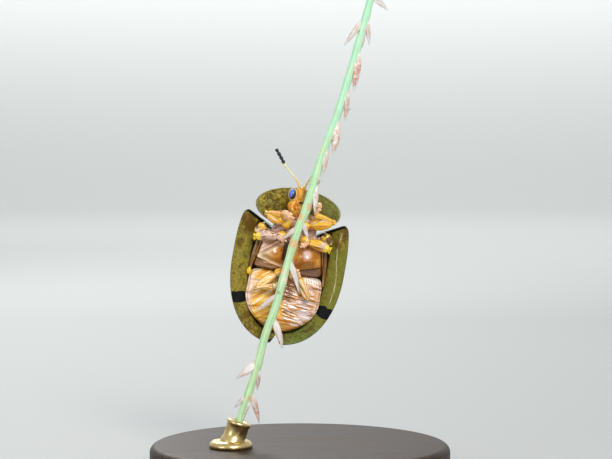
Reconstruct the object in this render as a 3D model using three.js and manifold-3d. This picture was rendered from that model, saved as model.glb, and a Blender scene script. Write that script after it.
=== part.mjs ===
// A tortoise beetle, life size, that grips a cut length of grass stem belly first, on a display stand.
// Millimetres, +Z up. The origin is the middle of the underside of the stand's base.
// The beetle's own frame has x to its side, y towards its head and z out of its belly.
import * as THREE from "three";
import { ParametricGeometry } from "three/addons/geometries/ParametricGeometry.js";
import { mergeVertices } from "three/addons/utils/BufferGeometryUtils.js";
import Module from "manifold-3d";

const wasm = await Module();
wasm.setup();

// Stand and pose
const baseRadius = 10.5;
const baseThickness = 2.2;
const baseBevel = 0.5;
const rodRadius = 0.8;
const collarRadius = 1.5;
const collarHeight = 0.5;
const beetleSide = -0.81;
const beetleHeight = 14.73;
const lean = THREE.MathUtils.degToRad(10);

// Clearances between the pieces
const gap = 0.22;
const fineGap = 0.14;
const roof = 0.36;

// Wing cases: the plan of the whole, the plan of the dome inside its brim, and the slanting front edges
const casePlan = { halfWidth: 3.95, front: 5.6, rear: 5.6, frontPower: 3, rearPower: 2.2 };
const domePlan = { halfWidth: 2.78, front: 5.2, rear: 4.8, frontPower: 3, rearPower: 2.5 };
const caseHeight = 3.3;
const caseThickness = 0.5;
const brimRise = 0.5;
const forwardFall = 0.2;
const frontEdgeStart = 1.47;
const frontEdgeSlope = 0.583;
const shoulderCut = { x: 0.447, y: 0.894, reach: 4.6 };
const apexNotch = { halfWidth: 0.3, depth: 0.45 };
const veinCount = 4;

// Neck shield
const shieldY = 3.98;
const shieldHalfWidth = 3.0;
const shieldFront = 1.45;
const shieldRear = 1.5;
const shieldLobe = 0.6;
const shieldRise = 2.5;
const shieldThickness = 0.45;

// Trunk
const chestY = 1.15;
const chestPlan = { halfWidth: 2.5, front: 1.6, rear: 1.6, frontPower: 7, rearPower: 7 };
const chestFrontHalfWidth = 1.55;
const abdomenY = -2.4;
const waistY = chestY - chestPlan.rear;
const abdomenPlan = { halfWidth: 2.6, front: waistY - gap - abdomenY, rear: 2.34, frontPower: 8, rearPower: 1.75 };
const ringCount = 5;
const ringStep = 0.12;

// Perch
const stemRadius = 0.29;
const stemLift = 1.95;
const stemRoute = [
  [-1.48, -11.2], [-1.24, -9.46], [-0.9, -7.1], [-0.75, -5], [-0.4, -3], [-0.2, -1],
  [0, 1], [0.28, 3], [0.55, 4.3], [0.84, 7.15], [1.19, 9.3], [1.55, 11.3], [2.03, 15.47],
  [2.25, 17.6], [2.38, 19.55],
];

const shell = (colour, roughness) =>
  new THREE.MeshStandardMaterial({ color: colour, roughness, metalness: 0 });
const materials = {
  wingCase: shell(0x86802f, 0.3),
  shield: shell(0x9a9148, 0.3),
  belly: shell(0xc9862a, 0.3),
  trunk: shell(0xb8691a, 0.25),
  head: shell(0xd98a2b, 0.35),
  eye: shell(0x24349a, 0.1),
  feeler: shell(0xe0d090, 0.4),
  leg: shell(0xe8b83c, 0.35),
  stem: shell(0xa8f0b0, 0.6),
  base: shell(0x2a2a2c, 0.4),
  rod: new THREE.MeshStandardMaterial({ color: 0xb9a26a, roughness: 0.3, metalness: 1 }),
};

// Turns a closed geometry into a solid that faces outwards.
function solidOf(geometry) {
  const bare = new THREE.BufferGeometry();
  bare.setAttribute("position", geometry.getAttribute("position"));
  if (geometry.index) bare.setIndex(geometry.index);
  const merged = mergeVertices(bare, 1e-4);
  const triVerts = Uint32Array.from(merged.index.array);
  const vertProperties = Float32Array.from(merged.attributes.position.array);
  const made = new wasm.Manifold(new wasm.Mesh({ numProp: 3, vertProperties, triVerts }));
  if (made.volume() > 0) return made;
  triVerts.reverse();
  return new wasm.Manifold(new wasm.Mesh({ numProp: 3, vertProperties, triVerts }));
}

// The largest closed surface of a solid.
function largest(solid) {
  const bodies = solid.decompose();
  bodies.sort((a, b) => b.volume() - a.volume());
  return bodies[0];
}

const join = (solids) => solids.reduce((a, b) => a.add(b));
const cut = (solid, cutters) => cutters.reduce((a, b) => a.subtract(b), solid);

// A closed surface with a pole at each end: pointAt(along, angle) with along from 0 to 1.
function closedSurface(rings, sides, pointAt) {
  const place = (around, along, target) => {
    const angle = around === 1 ? 0 : around * 2 * Math.PI;
    target.set(...pointAt(along, along === 0 || along === 1 ? 0 : angle));
  };
  return solidOf(new ParametricGeometry(place, sides, rings));
}

// A body between two height fields inside a plan outline: out over the top and back over the underside.
function lens({ centre, outline, top, underside, rings = 9, sides = 40 }) {
  const steps = 2 * rings + 1;
  return closedSurface(steps, sides, (along, angle) => {
    const step = Math.round(along * steps);
    const out = Math.min(step, steps - step) / rings;
    const reach = outline(angle) * Math.sin((out * Math.PI) / 2);
    const x = centre[0] + reach * Math.cos(angle);
    const y = centre[1] + reach * Math.sin(angle);
    return [x, y, (step <= rings ? top : underside)(x, y)];
  });
}

// An egg with its own radius along each axis.
function egg(centre, radii, grow = 0, sides = 14, rings = 8) {
  return closedSurface(rings, sides, (along, angle) => {
    const ring = Math.sin(along * Math.PI);
    return [
      centre[0] + (radii[0] + grow) * ring * Math.cos(angle),
      centre[1] + (radii[1] + grow) * Math.cos(along * Math.PI),
      centre[2] + (radii[2] + grow) * ring * Math.sin(angle),
    ];
  });
}

// A round-ended rod through points, as wide as widths says along it; flat under 1 thins it along z.
function rod(points, widths, { grow = 0, sides = 8, steps = 8, flat = 1 } = {}) {
  const route = new THREE.CatmullRomCurve3(points.map((p) => new THREE.Vector3(...p)), false, "centripetal");
  const length = route.getLength();
  const widthAt = new THREE.SplineCurve(
    widths.map((w, i) => new THREE.Vector2(i / (widths.length - 1), w)),
  );
  return closedSurface(steps, sides, (along, angle) => {
    const t = 0.5 - 0.5 * Math.cos(along * Math.PI);
    const radius = widthAt.getPoint(t).y + grow;
    const cap = Math.min(0.5, radius / length);
    const end = Math.max(0, 1 - Math.min(t, 1 - t) / cap);
    const reach = radius * Math.sqrt(1 - end * end);
    const tangent = route.getTangentAt(t);
    const side = new THREE.Vector3(tangent.y, -tangent.x, 0).normalize();
    const up = new THREE.Vector3().crossVectors(side, tangent);
    const at = route
      .getPointAt(t)
      .addScaledVector(tangent, (t < 0.5 ? -grow : grow) * end)
      .addScaledVector(side, reach * Math.cos(angle))
      .addScaledVector(up, reach * flat * Math.sin(angle));
    return at.toArray();
  });
}

// An upright prism over a plan polygon, from low to high.
function prism(corners, low, high) {
  const plan = new THREE.Shape(corners.map((c) => new THREE.Vector2(...c)));
  const block = new THREE.ExtrudeGeometry(plan, { depth: high - low, bevelEnabled: false });
  return solidOf(block.translate(0, 0, low));
}

// Rounded oblong: 0 in the middle and 1 at the rim, with its own length and power before and behind.
function oblong(x, y, { halfWidth, front, rear, frontPower, rearPower }) {
  const [end, power] = y < 0 ? [rear, rearPower] : [front, frontPower];
  return ((Math.abs(x) / halfWidth) ** power + (Math.abs(y) / end) ** power) ** (1 / power);
}
const outlineOf = (plan, grow) => (angle) => 1 / oblong(Math.cos(angle), Math.sin(angle), plan) + grow;

// Height of the back: a dome that falls towards the head, inside a brim that rises to its rim.
function caseTop(x, y) {
  const inside = 1 - Math.min(1, oblong(x, y, casePlan));
  const dome = oblong(x, y, domePlan);
  if (dome > 1) return -brimRise * (inside / (inside + dome - 1)) ** 1.2;
  const fall = 1 - forwardFall * THREE.MathUtils.smoothstep(y, 0.3, 2.2);
  const swell = (1 + 0.05 * Math.min(y, 2)) * fall;
  return -brimRise - (caseHeight - brimRise) * swell * (1 - dome ** 2.1) ** 0.8;
}
const caseUnder = (grow) => (x, y) =>
  caseTop(x, y) + caseThickness * (1.6 - 0.9 * Math.min(1, oblong(x, y, casePlan))) + grow;

// Both wing cases as one shell, cut to the straight front edges, the shoulders and the notch at the tip.
function wingCases(grow) {
  const whole = lens({
    centre: [0, 0],
    outline: outlineOf(casePlan, grow),
    top: (x, y) => caseTop(x, y) - grow,
    underside: caseUnder(grow),
    rings: 8,
    sides: 40,
  });
  const wide = 6;
  const far = 9;
  const start = frontEdgeStart + grow;
  const corner = start + frontEdgeSlope * wide;
  const ahead = prism([[0, start], [wide, corner], [wide, far], [-wide, far], [-wide, corner]], -6, 3);
  const cutY = (x) => (shoulderCut.reach + grow - shoulderCut.x * x) / shoulderCut.y;
  const shoulders = [-1, 1].map((sign) =>
    prism([[sign * 2.5, cutY(2.5)], [sign * wide, cutY(wide)], [sign * wide, far], [sign * 2.5, far]], -6, 3),
  );
  const { halfWidth, depth } = apexNotch;
  const tip = -casePlan.rear;
  const notch = prism([[0, tip + depth], [-halfWidth, tip - 1], [halfWidth, tip - 1]], -3, 3);
  return cut(whole, [ahead, notch, ...shoulders]);
}

// One wing case, on the side of sign, with low veins along its back.
function wingCase(sign) {
  const inner = (sign * gap) / 2;
  const half = prism([[inner, -7], [sign * 6, -7], [sign * 6, 7], [inner, 7]], -6, 4);
  const veins = Array.from({ length: veinCount }, (_, i) => {
    const x = sign * (0.5 + i * 0.42);
    const route = [0.9, -0.6, -2.2, -3.3 + i * 0.25].map((y) => {
      const across = x * (1 - 0.012 * y * y);
      return [across, y, caseTop(across, y) + 0.06];
    });
    return rod(route, [0.13, 0.15, 0.15, 0.12], { sides: 6, steps: 6 });
  });
  return largest(join([wingCases(0).intersect(half), ...veins]));
}

// Neck shield: an oval roof with a lobe at the middle of its rear edge, where it is highest.
function shieldOutline(angle) {
  const across = Math.cos(angle) * shieldRear;
  const end = Math.sin(angle) > 0 ? shieldFront : shieldRear + shieldLobe * Math.exp(-((across / 0.95) ** 2));
  return 1 / Math.hypot(Math.cos(angle) / shieldHalfWidth, Math.sin(angle) / end);
}
function shieldTop(x, y) {
  const across = Math.max(0, 1 - (x / shieldHalfWidth) ** 2);
  const back = Math.max(0, (shieldY + shieldFront - y) / (shieldFront + shieldRear));
  return -0.15 - shieldRise * across ** 1.2 * back ** 1.15;
}
function neckShield() {
  return lens({
    centre: [0, shieldY],
    outline: shieldOutline,
    top: shieldTop,
    underside: (x, y) => shieldTop(x, y) + shieldThickness,
    rings: 5,
    sides: 32,
  });
}

// Middle and rear of the chest: two polished swellings, shoulder bumps and the small plate on the back. Its
// front corners end at the wing cases' front edges.
function chest(grow) {
  const swelling = (x, y) => {
    const dome = (cx) => Math.max(0, 1 - ((x - cx) / 1.0) ** 2 - ((y - 0.65) / 1.0) ** 2);
    return 0.42 * Math.sqrt(dome(-1.2)) + 0.42 * Math.sqrt(dome(1.2));
  };
  const body = lens({
    centre: [0, chestY],
    outline: outlineOf(chestPlan, grow),
    top: (x, y) => Math.min(-0.1, caseUnder(roof)(x, y) - grow),
    underside: (x, y) => 0.42 + swelling(x, y) - 0.07 * x * x + grow,
    rings: 7,
    sides: 28,
  });
  const edgeAt = (x) => frontEdgeStart + grow + frontEdgeSlope * x;
  const inner = chestFrontHalfWidth + grow;
  const corners = [-1, 1].map((sign) =>
    prism([[sign * inner, edgeAt(inner)], [sign * 4, edgeAt(4)], [sign * 4, 5], [sign * inner, 5]], -6, 3),
  );
  const bumps = [-1, 1].map((sign) => egg([sign * 2.3, 2.2, 0.15], [0.4, 0.44, 0.42], grow, 8, 5));
  return join([cut(body, corners), ...bumps, egg([0, 1.72, -1.9], [0.42, 0.34, 0.7], grow, 8, 5)]);
}

// Abdomen: five rings that overlap like tiles towards the tip.
function abdomenBody(grow) {
  const length = waistY - abdomenY + abdomenPlan.rear;
  const tile = (y) => {
    const along = ((waistY - y) / length) * ringCount;
    return ringStep * (0.5 - (along - Math.floor(along)));
  };
  return lens({
    centre: [0, abdomenY],
    outline: outlineOf(abdomenPlan, grow),
    top: (x, y) => Math.min(-0.15, caseUnder(roof)(x, y) - grow),
    underside: (x, y) => 0.62 - 0.07 * x * x - 0.05 * (y - abdomenY) ** 2 + tile(y) + grow,
    rings: 9,
    sides: 30,
  });
}

// Front chest below the neck shield.
const frontChest = (grow) => egg([0, 3.1, -0.15], [1.45, 0.62, 0.75], grow, 16, 8);

// Head with the face plate, mouth and throat.
function headBody(grow) {
  return join([
    egg([0, 4.78, 0.3], [0.68, 0.68, 0.3], grow, 14, 8),
    egg([0, 4.12, 0.18], [0.78, 0.56, 0.48], grow, 14, 7),
    egg([0, 3.74, 0.16], [0.5, 0.36, 0.42], grow, 12, 6),
    egg([0, 4.97, 0.43], [0.26, 0.48, 0.29], grow, 10, 7),
    egg([0.05, 4.44, 0.5], [0.26, 0.16, 0.2], grow, 8, 6),
    egg([-0.4, 3.98, 0.54], [0.15, 0.24, 0.2], grow, 8, 6),
    egg([0.4, 3.98, 0.54], [0.15, 0.24, 0.2], grow, 8, 6),
  ]);
}

const eyeBody = (sign, grow) => egg([sign * 0.58, 4.93, 0.38], [0.29, 0.42, 0.33], grow, 14, 9);

// Feeler: beads along a bent route, thicker in the last five.
const feelerRoute = {
  left: [[-0.14, 5.45, 0.45], [-0.3, 5.75, 0.5], [-0.55, 6.05, 0.45], [-1.0, 6.42, 0.4], [-1.38, 6.78, 0.35],
    [-1.8, 7.3, 0.3], [-2.25, 7.85, 0.25]],
  right: [[0.14, 5.45, 0.45], [0.26, 5.75, 0.5], [0.42, 6.15, 0.45], [0.62, 6.6, 0.4], [0.78, 7.0, 0.35],
    [0.9, 7.6, 0.3], [0.98, 8.3, 0.25]],
};
const beadCount = 11;
function feeler(route, grow) {
  const line = new THREE.CatmullRomCurve3(route.map((p) => new THREE.Vector3(...p)), false, "centripetal");
  const beads = Array.from({ length: beadCount }, (_, i) => {
    const [from, to] = [Math.max(0, (i - 0.12) / beadCount), Math.min(1, (i + 1.12) / beadCount)];
    const width = i < 6 ? 0.22 : 0.27;
    const points = [from, (from + to) / 2, to].map((t) => line.getPointAt(t).toArray());
    const taper = i === beadCount - 1 ? [width, 0.2, 0.08] : [width * 0.85, width, width * 0.95];
    return rod(points, taper, { grow, sides: 6, steps: 4 });
  });
  return join(beads);
}

// Legs. Each has a hip, thigh, shin and a foot of three flat pads and a claw that end at the stem.
const legRoutes = {
  leg_front_left: { hip: [-0.72, 2.85, 0.7], knee: [-2.15, 3.38, 0.95], ankle: [-1.1, 3.46, 1.25],
    foot: [[-0.86, 3.66, 1.45], [-0.2, 3.36, 1.7]], thick: 0.37 },
  leg_front_right: { hip: [0.78, 2.92, 0.7], knee: [2.6, 3.52, 0.9], ankle: [1.18, 3.8, 1.3],
    foot: [[1.42, 4.4, 1.55], [1.06, 4.86, 1.85]], thick: 0.41 },
  leg_middle_left: { hip: [-0.9, 1.95, 0.66], knee: [-2.68, 1.6, 0.8], ankle: [-1.15, 1.88, 1.2],
    foot: [[-0.78, 1.78, 1.35], [-0.5, 1.62, 1.5]], thick: 0.33 },
  leg_middle_right: { hip: [0.95, 1.9, 0.66], knee: [2.68, 1.55, 0.8], ankle: [1.15, 1.86, 1.2],
    foot: [[0.84, 1.64, 1.38], [0.64, 1.42, 1.55]], thick: 0.34 },
  leg_hind_left: { hip: [-0.6, -0.6, 0.75], knee: [-1.95, -1.88, 0.95], ankle: [-0.8, -1.55, 1.25],
    foot: [[-0.72, -1.4, 1.45], [-0.68, -1.2, 1.65]], thick: 0.3 },
  leg_hind_right: { hip: [0.58, -0.6, 0.75], knee: [1.78, -2.05, 0.95], ankle: [0.95, -0.68, 1.25],
    foot: [[0.74, -0.3, 1.36], [0.56, 0.06, 1.5]], thick: 0.3 },
};
const between = (a, b, t) => a.map((v, i) => v + (b[i] - v) * t);
function leg({ hip, knee, ankle, foot, thick }, grow) {
  const thigh = [hip, between(hip, knee, 0.5), knee];
  const shin = [knee, between(knee, ankle, 0.5), ankle];
  const [pad, tip] = foot;
  const heel = between(ankle, knee, 0.15);
  const pads = [0, 1, 2].map((i) => {
    const spot = i === 0 ? between(ankle, pad, 0.5) : between(pad, tip, (i - 1) * 0.6);
    return egg(spot, [0.27 - 0.03 * i, 0.24 - 0.02 * i, 0.2], grow, 6, 4);
  });
  return join([
    egg(hip, [0.45, 0.36, 0.34], grow, 10, 6),
    rod(thigh, [0.26, thick, 0.27], { grow, sides: 8, steps: 7, flat: 0.85 }),
    egg(knee, [0.28, 0.28, 0.26], grow, 8, 5),
    rod(shin, [0.22, 0.25, 0.3], { grow, sides: 7, steps: 5 }),
    rod([heel, pad, tip], [0.25, 0.25, 0.18], { grow, sides: 6, steps: 5 }),
    ...pads,
  ]);
}

// Perch: a grass stem with its spikelets, each given by where it grows on the stem and where its tip is.
const spikelets = [
  { root: [2.22, 17.75], tip: [1.12, 15.6], width: 0.22 },
  { root: [2.3, 17.8], tip: [2.83, 15.95], width: 0.2 },
  { root: [2.36, 19.2], tip: [3.62, 18.5], width: 0.2 },
  { root: [2.08, 15.6], tip: [2.36, 12.7], width: 0.31 },
  { root: [1.82, 13.1], tip: [2.13, 10.5], width: 0.22 },
  { root: [1.48, 10.7], tip: [1.78, 8.15], width: 0.31 },
  { root: [1.1, 8.9], tip: [1.32, 6.55], width: 0.22 },
  { root: [0.78, 6.1], tip: [1.17, 4.6], width: 0.22 },
  { root: [0.15, 2.85], tip: [-0.68, 1.9], width: 0.18 },
  { root: [0.4, 3.3], tip: [1.02, 2.2], width: 0.18 },
  { root: [0, 0.6], tip: [1.0, -1.5], width: 0.2 },
  { root: [-0.35, -1.9], tip: [-1.6, -3.3], width: 0.18 },
  { root: [-0.38, -3.6], tip: [0.62, -5.6], width: 0.24 },
  { root: [-0.85, -6.7], tip: [-2.18, -8.2], width: 0.27 },
  { root: [-0.8, -7.1], tip: [-0.6, -8.78], width: 0.2 },
  { root: [-1.15, -9.0], tip: [-2.0, -10.25], width: 0.19 },
  { root: [-1.0, -8.9], tip: [-0.08, -10.97], width: 0.22 },
];
const onStem = ([x, y], lift) => [x, y, stemLift + lift];
function perch(grow) {
  const widths = [1.0, 0.97, 1.0, 0.95].map((share) => share * stemRadius);
  const stem = rod(stemRoute.map((p) => onStem(p, 0)), widths, { grow, sides: 8, steps: 34 });
  return join([stem, ...spikelets.map((spikelet) => spikeletBody(spikelet, grow))]);
}
// A husk that lies over the stem at its root and ends in a point.
function spikeletBody({ root, tip, width }, grow) {
  const lift = 0.14;
  const route = [onStem(root, 0), onStem(between(root, tip, 0.45), lift), onStem(tip, lift)];
  return rod(route, [width * 0.9, width, width * 0.66, 0.06], { grow, sides: 6, steps: 6, flat: 0.85 });
}

// What touches what: the piece that is made first keeps its shape, and the later ones are cut clear of it.
const stemAndHusks = perch(gap);
const legsGrown = Object.values(legRoutes).map((route) => leg(route, gap));
const headGrown = headBody(gap);
const chestGrown = chest(gap);
const casesGrown = wingCases(gap);
const feelersGrown = Object.values(feelerRoute).map((route) => feeler(route, fineGap));
const eyesGrown = [eyeBody(-1, fineGap), eyeBody(1, fineGap)];

const pieces = {
  perch_stem: [perch(0), materials.stem],
  wing_case_left: [wingCase(-1), materials.wingCase],
  wing_case_right: [wingCase(1), materials.wingCase],
  eye_left: [eyeBody(-1, 0), materials.eye],
  eye_right: [eyeBody(1, 0), materials.eye],
  head: [cut(headBody(0), [...eyesGrown, ...feelersGrown, stemAndHusks]), materials.head],
  prosternum: [cut(frontChest(0), [headGrown, ...legsGrown, chestGrown]), materials.trunk],
  thorax: [cut(chest(0), [...legsGrown, casesGrown, stemAndHusks]), materials.trunk],
  abdomen: [cut(abdomenBody(0), [...legsGrown, casesGrown, stemAndHusks]), materials.belly],
};
const shieldClears = [headGrown, frontChest(gap), casesGrown, ...legsGrown, chestGrown, stemAndHusks, ...eyesGrown];
pieces.neck_shield = [cut(neckShield(), shieldClears), materials.shield];
for (const [side, route] of Object.entries(feelerRoute))
  pieces["antenna_" + side] = [cut(feeler(route, 0), [stemAndHusks]), materials.feeler];
Object.entries(legRoutes).forEach(([name, route], i) => {
  pieces[name] = [
    cut(leg(route, 0), [stemAndHusks, headGrown, casesGrown, ...legsGrown.slice(0, i)]),
    materials.leg,
  ];
});

// Scene graph: the stance stands the belly up to face -Y, and the beetle leans in it.
const group = new THREE.Group();
const stance = new THREE.Group();
stance.rotation.x = Math.PI / 2;
const beetle = new THREE.Group();
beetle.rotation.z = -lean;
beetle.position.set(beetleSide, beetleHeight, 0);
stance.add(beetle);
group.add(stance);

// A named mesh of a solid.
function meshOf(name, solid, material) {
  const { numProp, vertProperties, triVerts } = largest(solid).getMesh();
  const geometry = new THREE.BufferGeometry();
  const count = vertProperties.length / numProp;
  const position = new Float32Array(count * 3);
  for (let i = 0; i < count; i++) position.set(vertProperties.subarray(i * numProp, i * numProp + 3), i * 3);
  geometry.setAttribute("position", new THREE.BufferAttribute(position, 3));
  geometry.setIndex(new THREE.BufferAttribute(triVerts, 1));
  geometry.computeVertexNormals();
  const mesh = new THREE.Mesh(geometry, material);
  mesh.name = name;
  return mesh;
}
for (const [name, [solid, material]] of Object.entries(pieces)) beetle.add(meshOf(name, solid, material));

// Stand: a turned base, and a short rod that leans in line with the stem and ends just below it.
const toWorld = ([x, y, z]) => new THREE.Vector3(
  beetleSide + x * Math.cos(lean) + y * Math.sin(lean),
  -z,
  beetleHeight - x * Math.sin(lean) + y * Math.cos(lean),
);
const baseProfile = [
  [0, 0], [baseRadius - baseBevel, 0], [baseRadius, baseBevel],
  [baseRadius, baseThickness - baseBevel], [baseRadius - baseBevel, baseThickness], [0, baseThickness],
].map((p) => new THREE.Vector2(...p));
const base = new THREE.LatheGeometry(baseProfile, 52).rotateX(Math.PI / 2);
group.add(meshOf("stand_base", solidOf(base), materials.base));

const stemFoot = toWorld(onStem(stemRoute[0], 0));
const alongStem = stemFoot.clone().sub(toWorld(onStem(stemRoute[1], 0))).normalize();
const rodTop = stemFoot.clone().addScaledVector(alongStem, gap);
const rodLength = 4;
const rodGeometry = new THREE.CylinderGeometry(rodRadius, rodRadius, rodLength, 24);
rodGeometry.translate(0, rodLength / 2, 0);
rodGeometry.applyQuaternion(new THREE.Quaternion().setFromUnitVectors(new THREE.Vector3(0, 1, 0), alongStem));
rodGeometry.translate(...rodTop.toArray());
const collar = new THREE.CylinderGeometry(collarRadius - 0.2, collarRadius, collarHeight, 32).rotateX(Math.PI / 2);
const floorLevel = baseThickness + gap;
const footTravel = (rodTop.z - floorLevel) / -alongStem.z;
const foot = rodTop.clone().addScaledVector(alongStem, footTravel);
collar.translate(foot.x, foot.y, floorLevel + collarHeight / 2);
const below = new THREE.BoxGeometry(12, 12, 12).translate(foot.x, foot.y, floorLevel - 6);
const rodSolid = solidOf(rodGeometry).add(solidOf(collar)).subtract(solidOf(below));
group.add(meshOf("stand_rod", rodSolid, materials.rod));

export default group;
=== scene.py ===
# Tortoise beetle on a cut grass stem, on its display stand: the looks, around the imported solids.
# Lengths inside the script are millimetres in the beetle's own frame: x to its side as seen from the belly,
# y towards the head, z out of the belly. toWorld turns them into the part's metres.
import math

import bpy
import numpy as np
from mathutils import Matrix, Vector


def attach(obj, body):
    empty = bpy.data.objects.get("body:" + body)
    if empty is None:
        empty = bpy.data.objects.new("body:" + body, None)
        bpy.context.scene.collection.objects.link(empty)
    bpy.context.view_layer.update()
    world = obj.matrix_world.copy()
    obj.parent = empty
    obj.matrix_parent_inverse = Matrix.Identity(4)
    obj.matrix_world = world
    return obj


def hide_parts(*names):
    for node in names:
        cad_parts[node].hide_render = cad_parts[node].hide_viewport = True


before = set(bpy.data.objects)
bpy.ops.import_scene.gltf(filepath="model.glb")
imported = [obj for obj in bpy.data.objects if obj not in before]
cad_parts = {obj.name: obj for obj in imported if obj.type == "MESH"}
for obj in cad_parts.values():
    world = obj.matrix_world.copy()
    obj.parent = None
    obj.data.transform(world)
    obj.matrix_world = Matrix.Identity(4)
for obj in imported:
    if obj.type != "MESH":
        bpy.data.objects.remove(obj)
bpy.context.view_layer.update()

place = {"side": -0.81, "height": 14.73, "lean": 10.0}  # where the beetle's own frame sits, mm and degrees


# Turns the beetle's frame by its lean about the viewing axis and stands the belly up to face -Y
def toWorld(p):
    p = np.asarray(p, float)
    lean = math.radians(place["lean"])
    x, y, z = p[..., 0], p[..., 1], p[..., 2]
    across = place["side"] + x * math.cos(lean) + y * math.sin(lean)
    up = place["height"] - x * math.sin(lean) + y * math.cos(lean)
    return np.stack([across, -z, up], -1) * 0.001


# Millimetres of the part's own frame to metres
def toMetres(p):
    return np.asarray(p, float) * 0.001


# 0 below low, 1 above high, and 3u^2 - 2u^3 between
def ease(value, low, high):
    u = np.clip((value - low) / (high - low), 0, 1)
    return u * u * (3 - 2 * u)


# exp(-(distance / width)^2)
def bell(distance, width):
    return np.exp(-((distance / width) ** 2))


# A cheap smooth noise: a sum of sines of turned coordinates, about -1 to 1
def ripple(x, y, scale, seed=0):
    total = 0
    for k in range(5):
        turn = seed * 1.7 + k * 2.399
        size = scale * (1 + 0.45 * k)
        total = total + np.sin(size * (x * math.cos(turn) + y * math.sin(turn)) + seed + 3.1 * k)
    return total / 5


# Angles that divide a full turn evenly
def fullTurn(sides):
    return np.arange(sides) / sides * 2 * np.pi


# The largest distance up to far at which inside(distance) holds, by halving
def farthest(inside, shape, far, rounds):
    low, high = np.zeros(shape), np.full(shape, far)
    for _ in range(rounds):
        middle = (low + high) / 2
        kept = inside(middle)
        low, high = np.where(kept, middle, low), np.where(kept, high, middle)
    return low


# Faces of a grid whose first and last rows are one point each and whose columns wrap round
def closedFaces(rows, sides):
    ring = np.arange(sides)
    after = (ring + 1) % sides
    start = 1 + np.arange(rows - 3)[:, None] * sides
    a, b = start + ring, start + after
    quads = np.stack([a, b, b + sides, a + sides], -1).reshape(-1, 4)
    last = 1 + (rows - 2) * sides
    firstCap = np.stack([0 * ring, 1 + after, 1 + ring], -1)
    lastCap = np.stack([0 * ring + last, last - sides + ring, last - sides + after], -1)
    return quads, np.vstack([firstCap, lastCap])


# One closed surface from a grid of points (rows, sides, 3), turned outwards by the sign of its volume.
# lay keeps how far along and how far round each point is, and a third value for the materials.
def closedSurface(points):
    rows, sides = points.shape[:2]
    verts = np.vstack([points[:1, 0], points[1:-1].reshape(-1, 3), points[-1:, 0]])
    quads, caps = closedFaces(rows, sides)
    along = np.linspace(0, 1, rows)[:, None] + np.zeros(sides)
    around = np.zeros((rows, 1)) + np.abs(np.arange(sides) / sides * 2 - 1)
    lay = np.stack([along, around, 0 * along], -1)
    lay = np.vstack([lay[:1, 0], lay[1:-1].reshape(-1, 3), lay[-1:, 0]])
    tris = np.vstack([quads[:, :3], quads[:, [0, 2, 3]], caps])
    a, b, c = verts[tris[:, 0]], verts[tris[:, 1]], verts[tris[:, 2]]
    if np.einsum("ij,ij->", a, np.cross(b, c)) < 0:
        quads, caps = quads[:, ::-1], caps[:, ::-1]
    return {"verts": verts, "quads": quads, "caps": caps, "lay": lay}


# Sets the third value of lay: one number, or a function of x and y
def marked(surface, value):
    verts = surface["verts"]
    surface["lay"][:, 2] = value(verts[:, 0], verts[:, 1]) if callable(value) else value
    return surface


# A smooth mesh object in the scene
def meshObject(name, verts, faces, material):
    mesh = bpy.data.meshes.new(name)
    mesh.from_pydata(verts.tolist(), [], faces)
    mesh.polygons.foreach_set("use_smooth", np.ones(len(faces), bool))
    mesh.materials.append(material)
    thing = bpy.data.objects.new(name, mesh)
    bpy.context.scene.collection.objects.link(thing)
    return thing


# Puts closed surfaces into one mesh object, in metres, and tells the frame what it stands for
def addPiece(name, surfaces, material, nodes=(), turn=toWorld):
    verts = np.vstack([s["verts"] for s in surfaces])
    starts = np.cumsum([0] + [len(s["verts"]) for s in surfaces])
    faces = []
    for s, start in zip(surfaces, starts):
        faces += (s["quads"] + start).tolist() + (s["caps"] + start).tolist()
    piece = meshObject(name, turn(verts), faces, material)
    for key, values in (("spot", verts), ("lay", np.vstack([s["lay"] for s in surfaces]))):
        layer = piece.data.attributes.new(key, "FLOAT_VECTOR", "POINT")
        layer.data.foreach_set("vector", values.astype(np.float32).ravel())
    piece.data.update()
    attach(piece, "root")
    if nodes:
        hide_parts(*nodes)


# Catmull-Rom curve through the points, by length: t from 0 to 1
def routeAt(points, t):
    points = np.asarray(points, float)
    ghost = np.vstack([2 * points[0] - points[1], points, 2 * points[-1] - points[-2]])
    s = np.linspace(0, 1, 24, endpoint=False)[:, None]
    fine = []
    for i in range(len(points) - 1):
        a, b, c, d = ghost[i : i + 4]
        bend = (2 * a - 5 * b + 4 * c - d) * s**2 + (3 * b - a - 3 * c + d) * s**3
        fine.append(0.5 * (2 * b + (c - a) * s + bend))
    fine = np.vstack([*fine, points[-1:]])
    length = np.append(0, np.cumsum(np.linalg.norm(np.diff(fine, axis=0), axis=1)))
    return np.stack([np.interp(t * length[-1], length, fine[:, k]) for k in range(3)], -1), length[-1]


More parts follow.
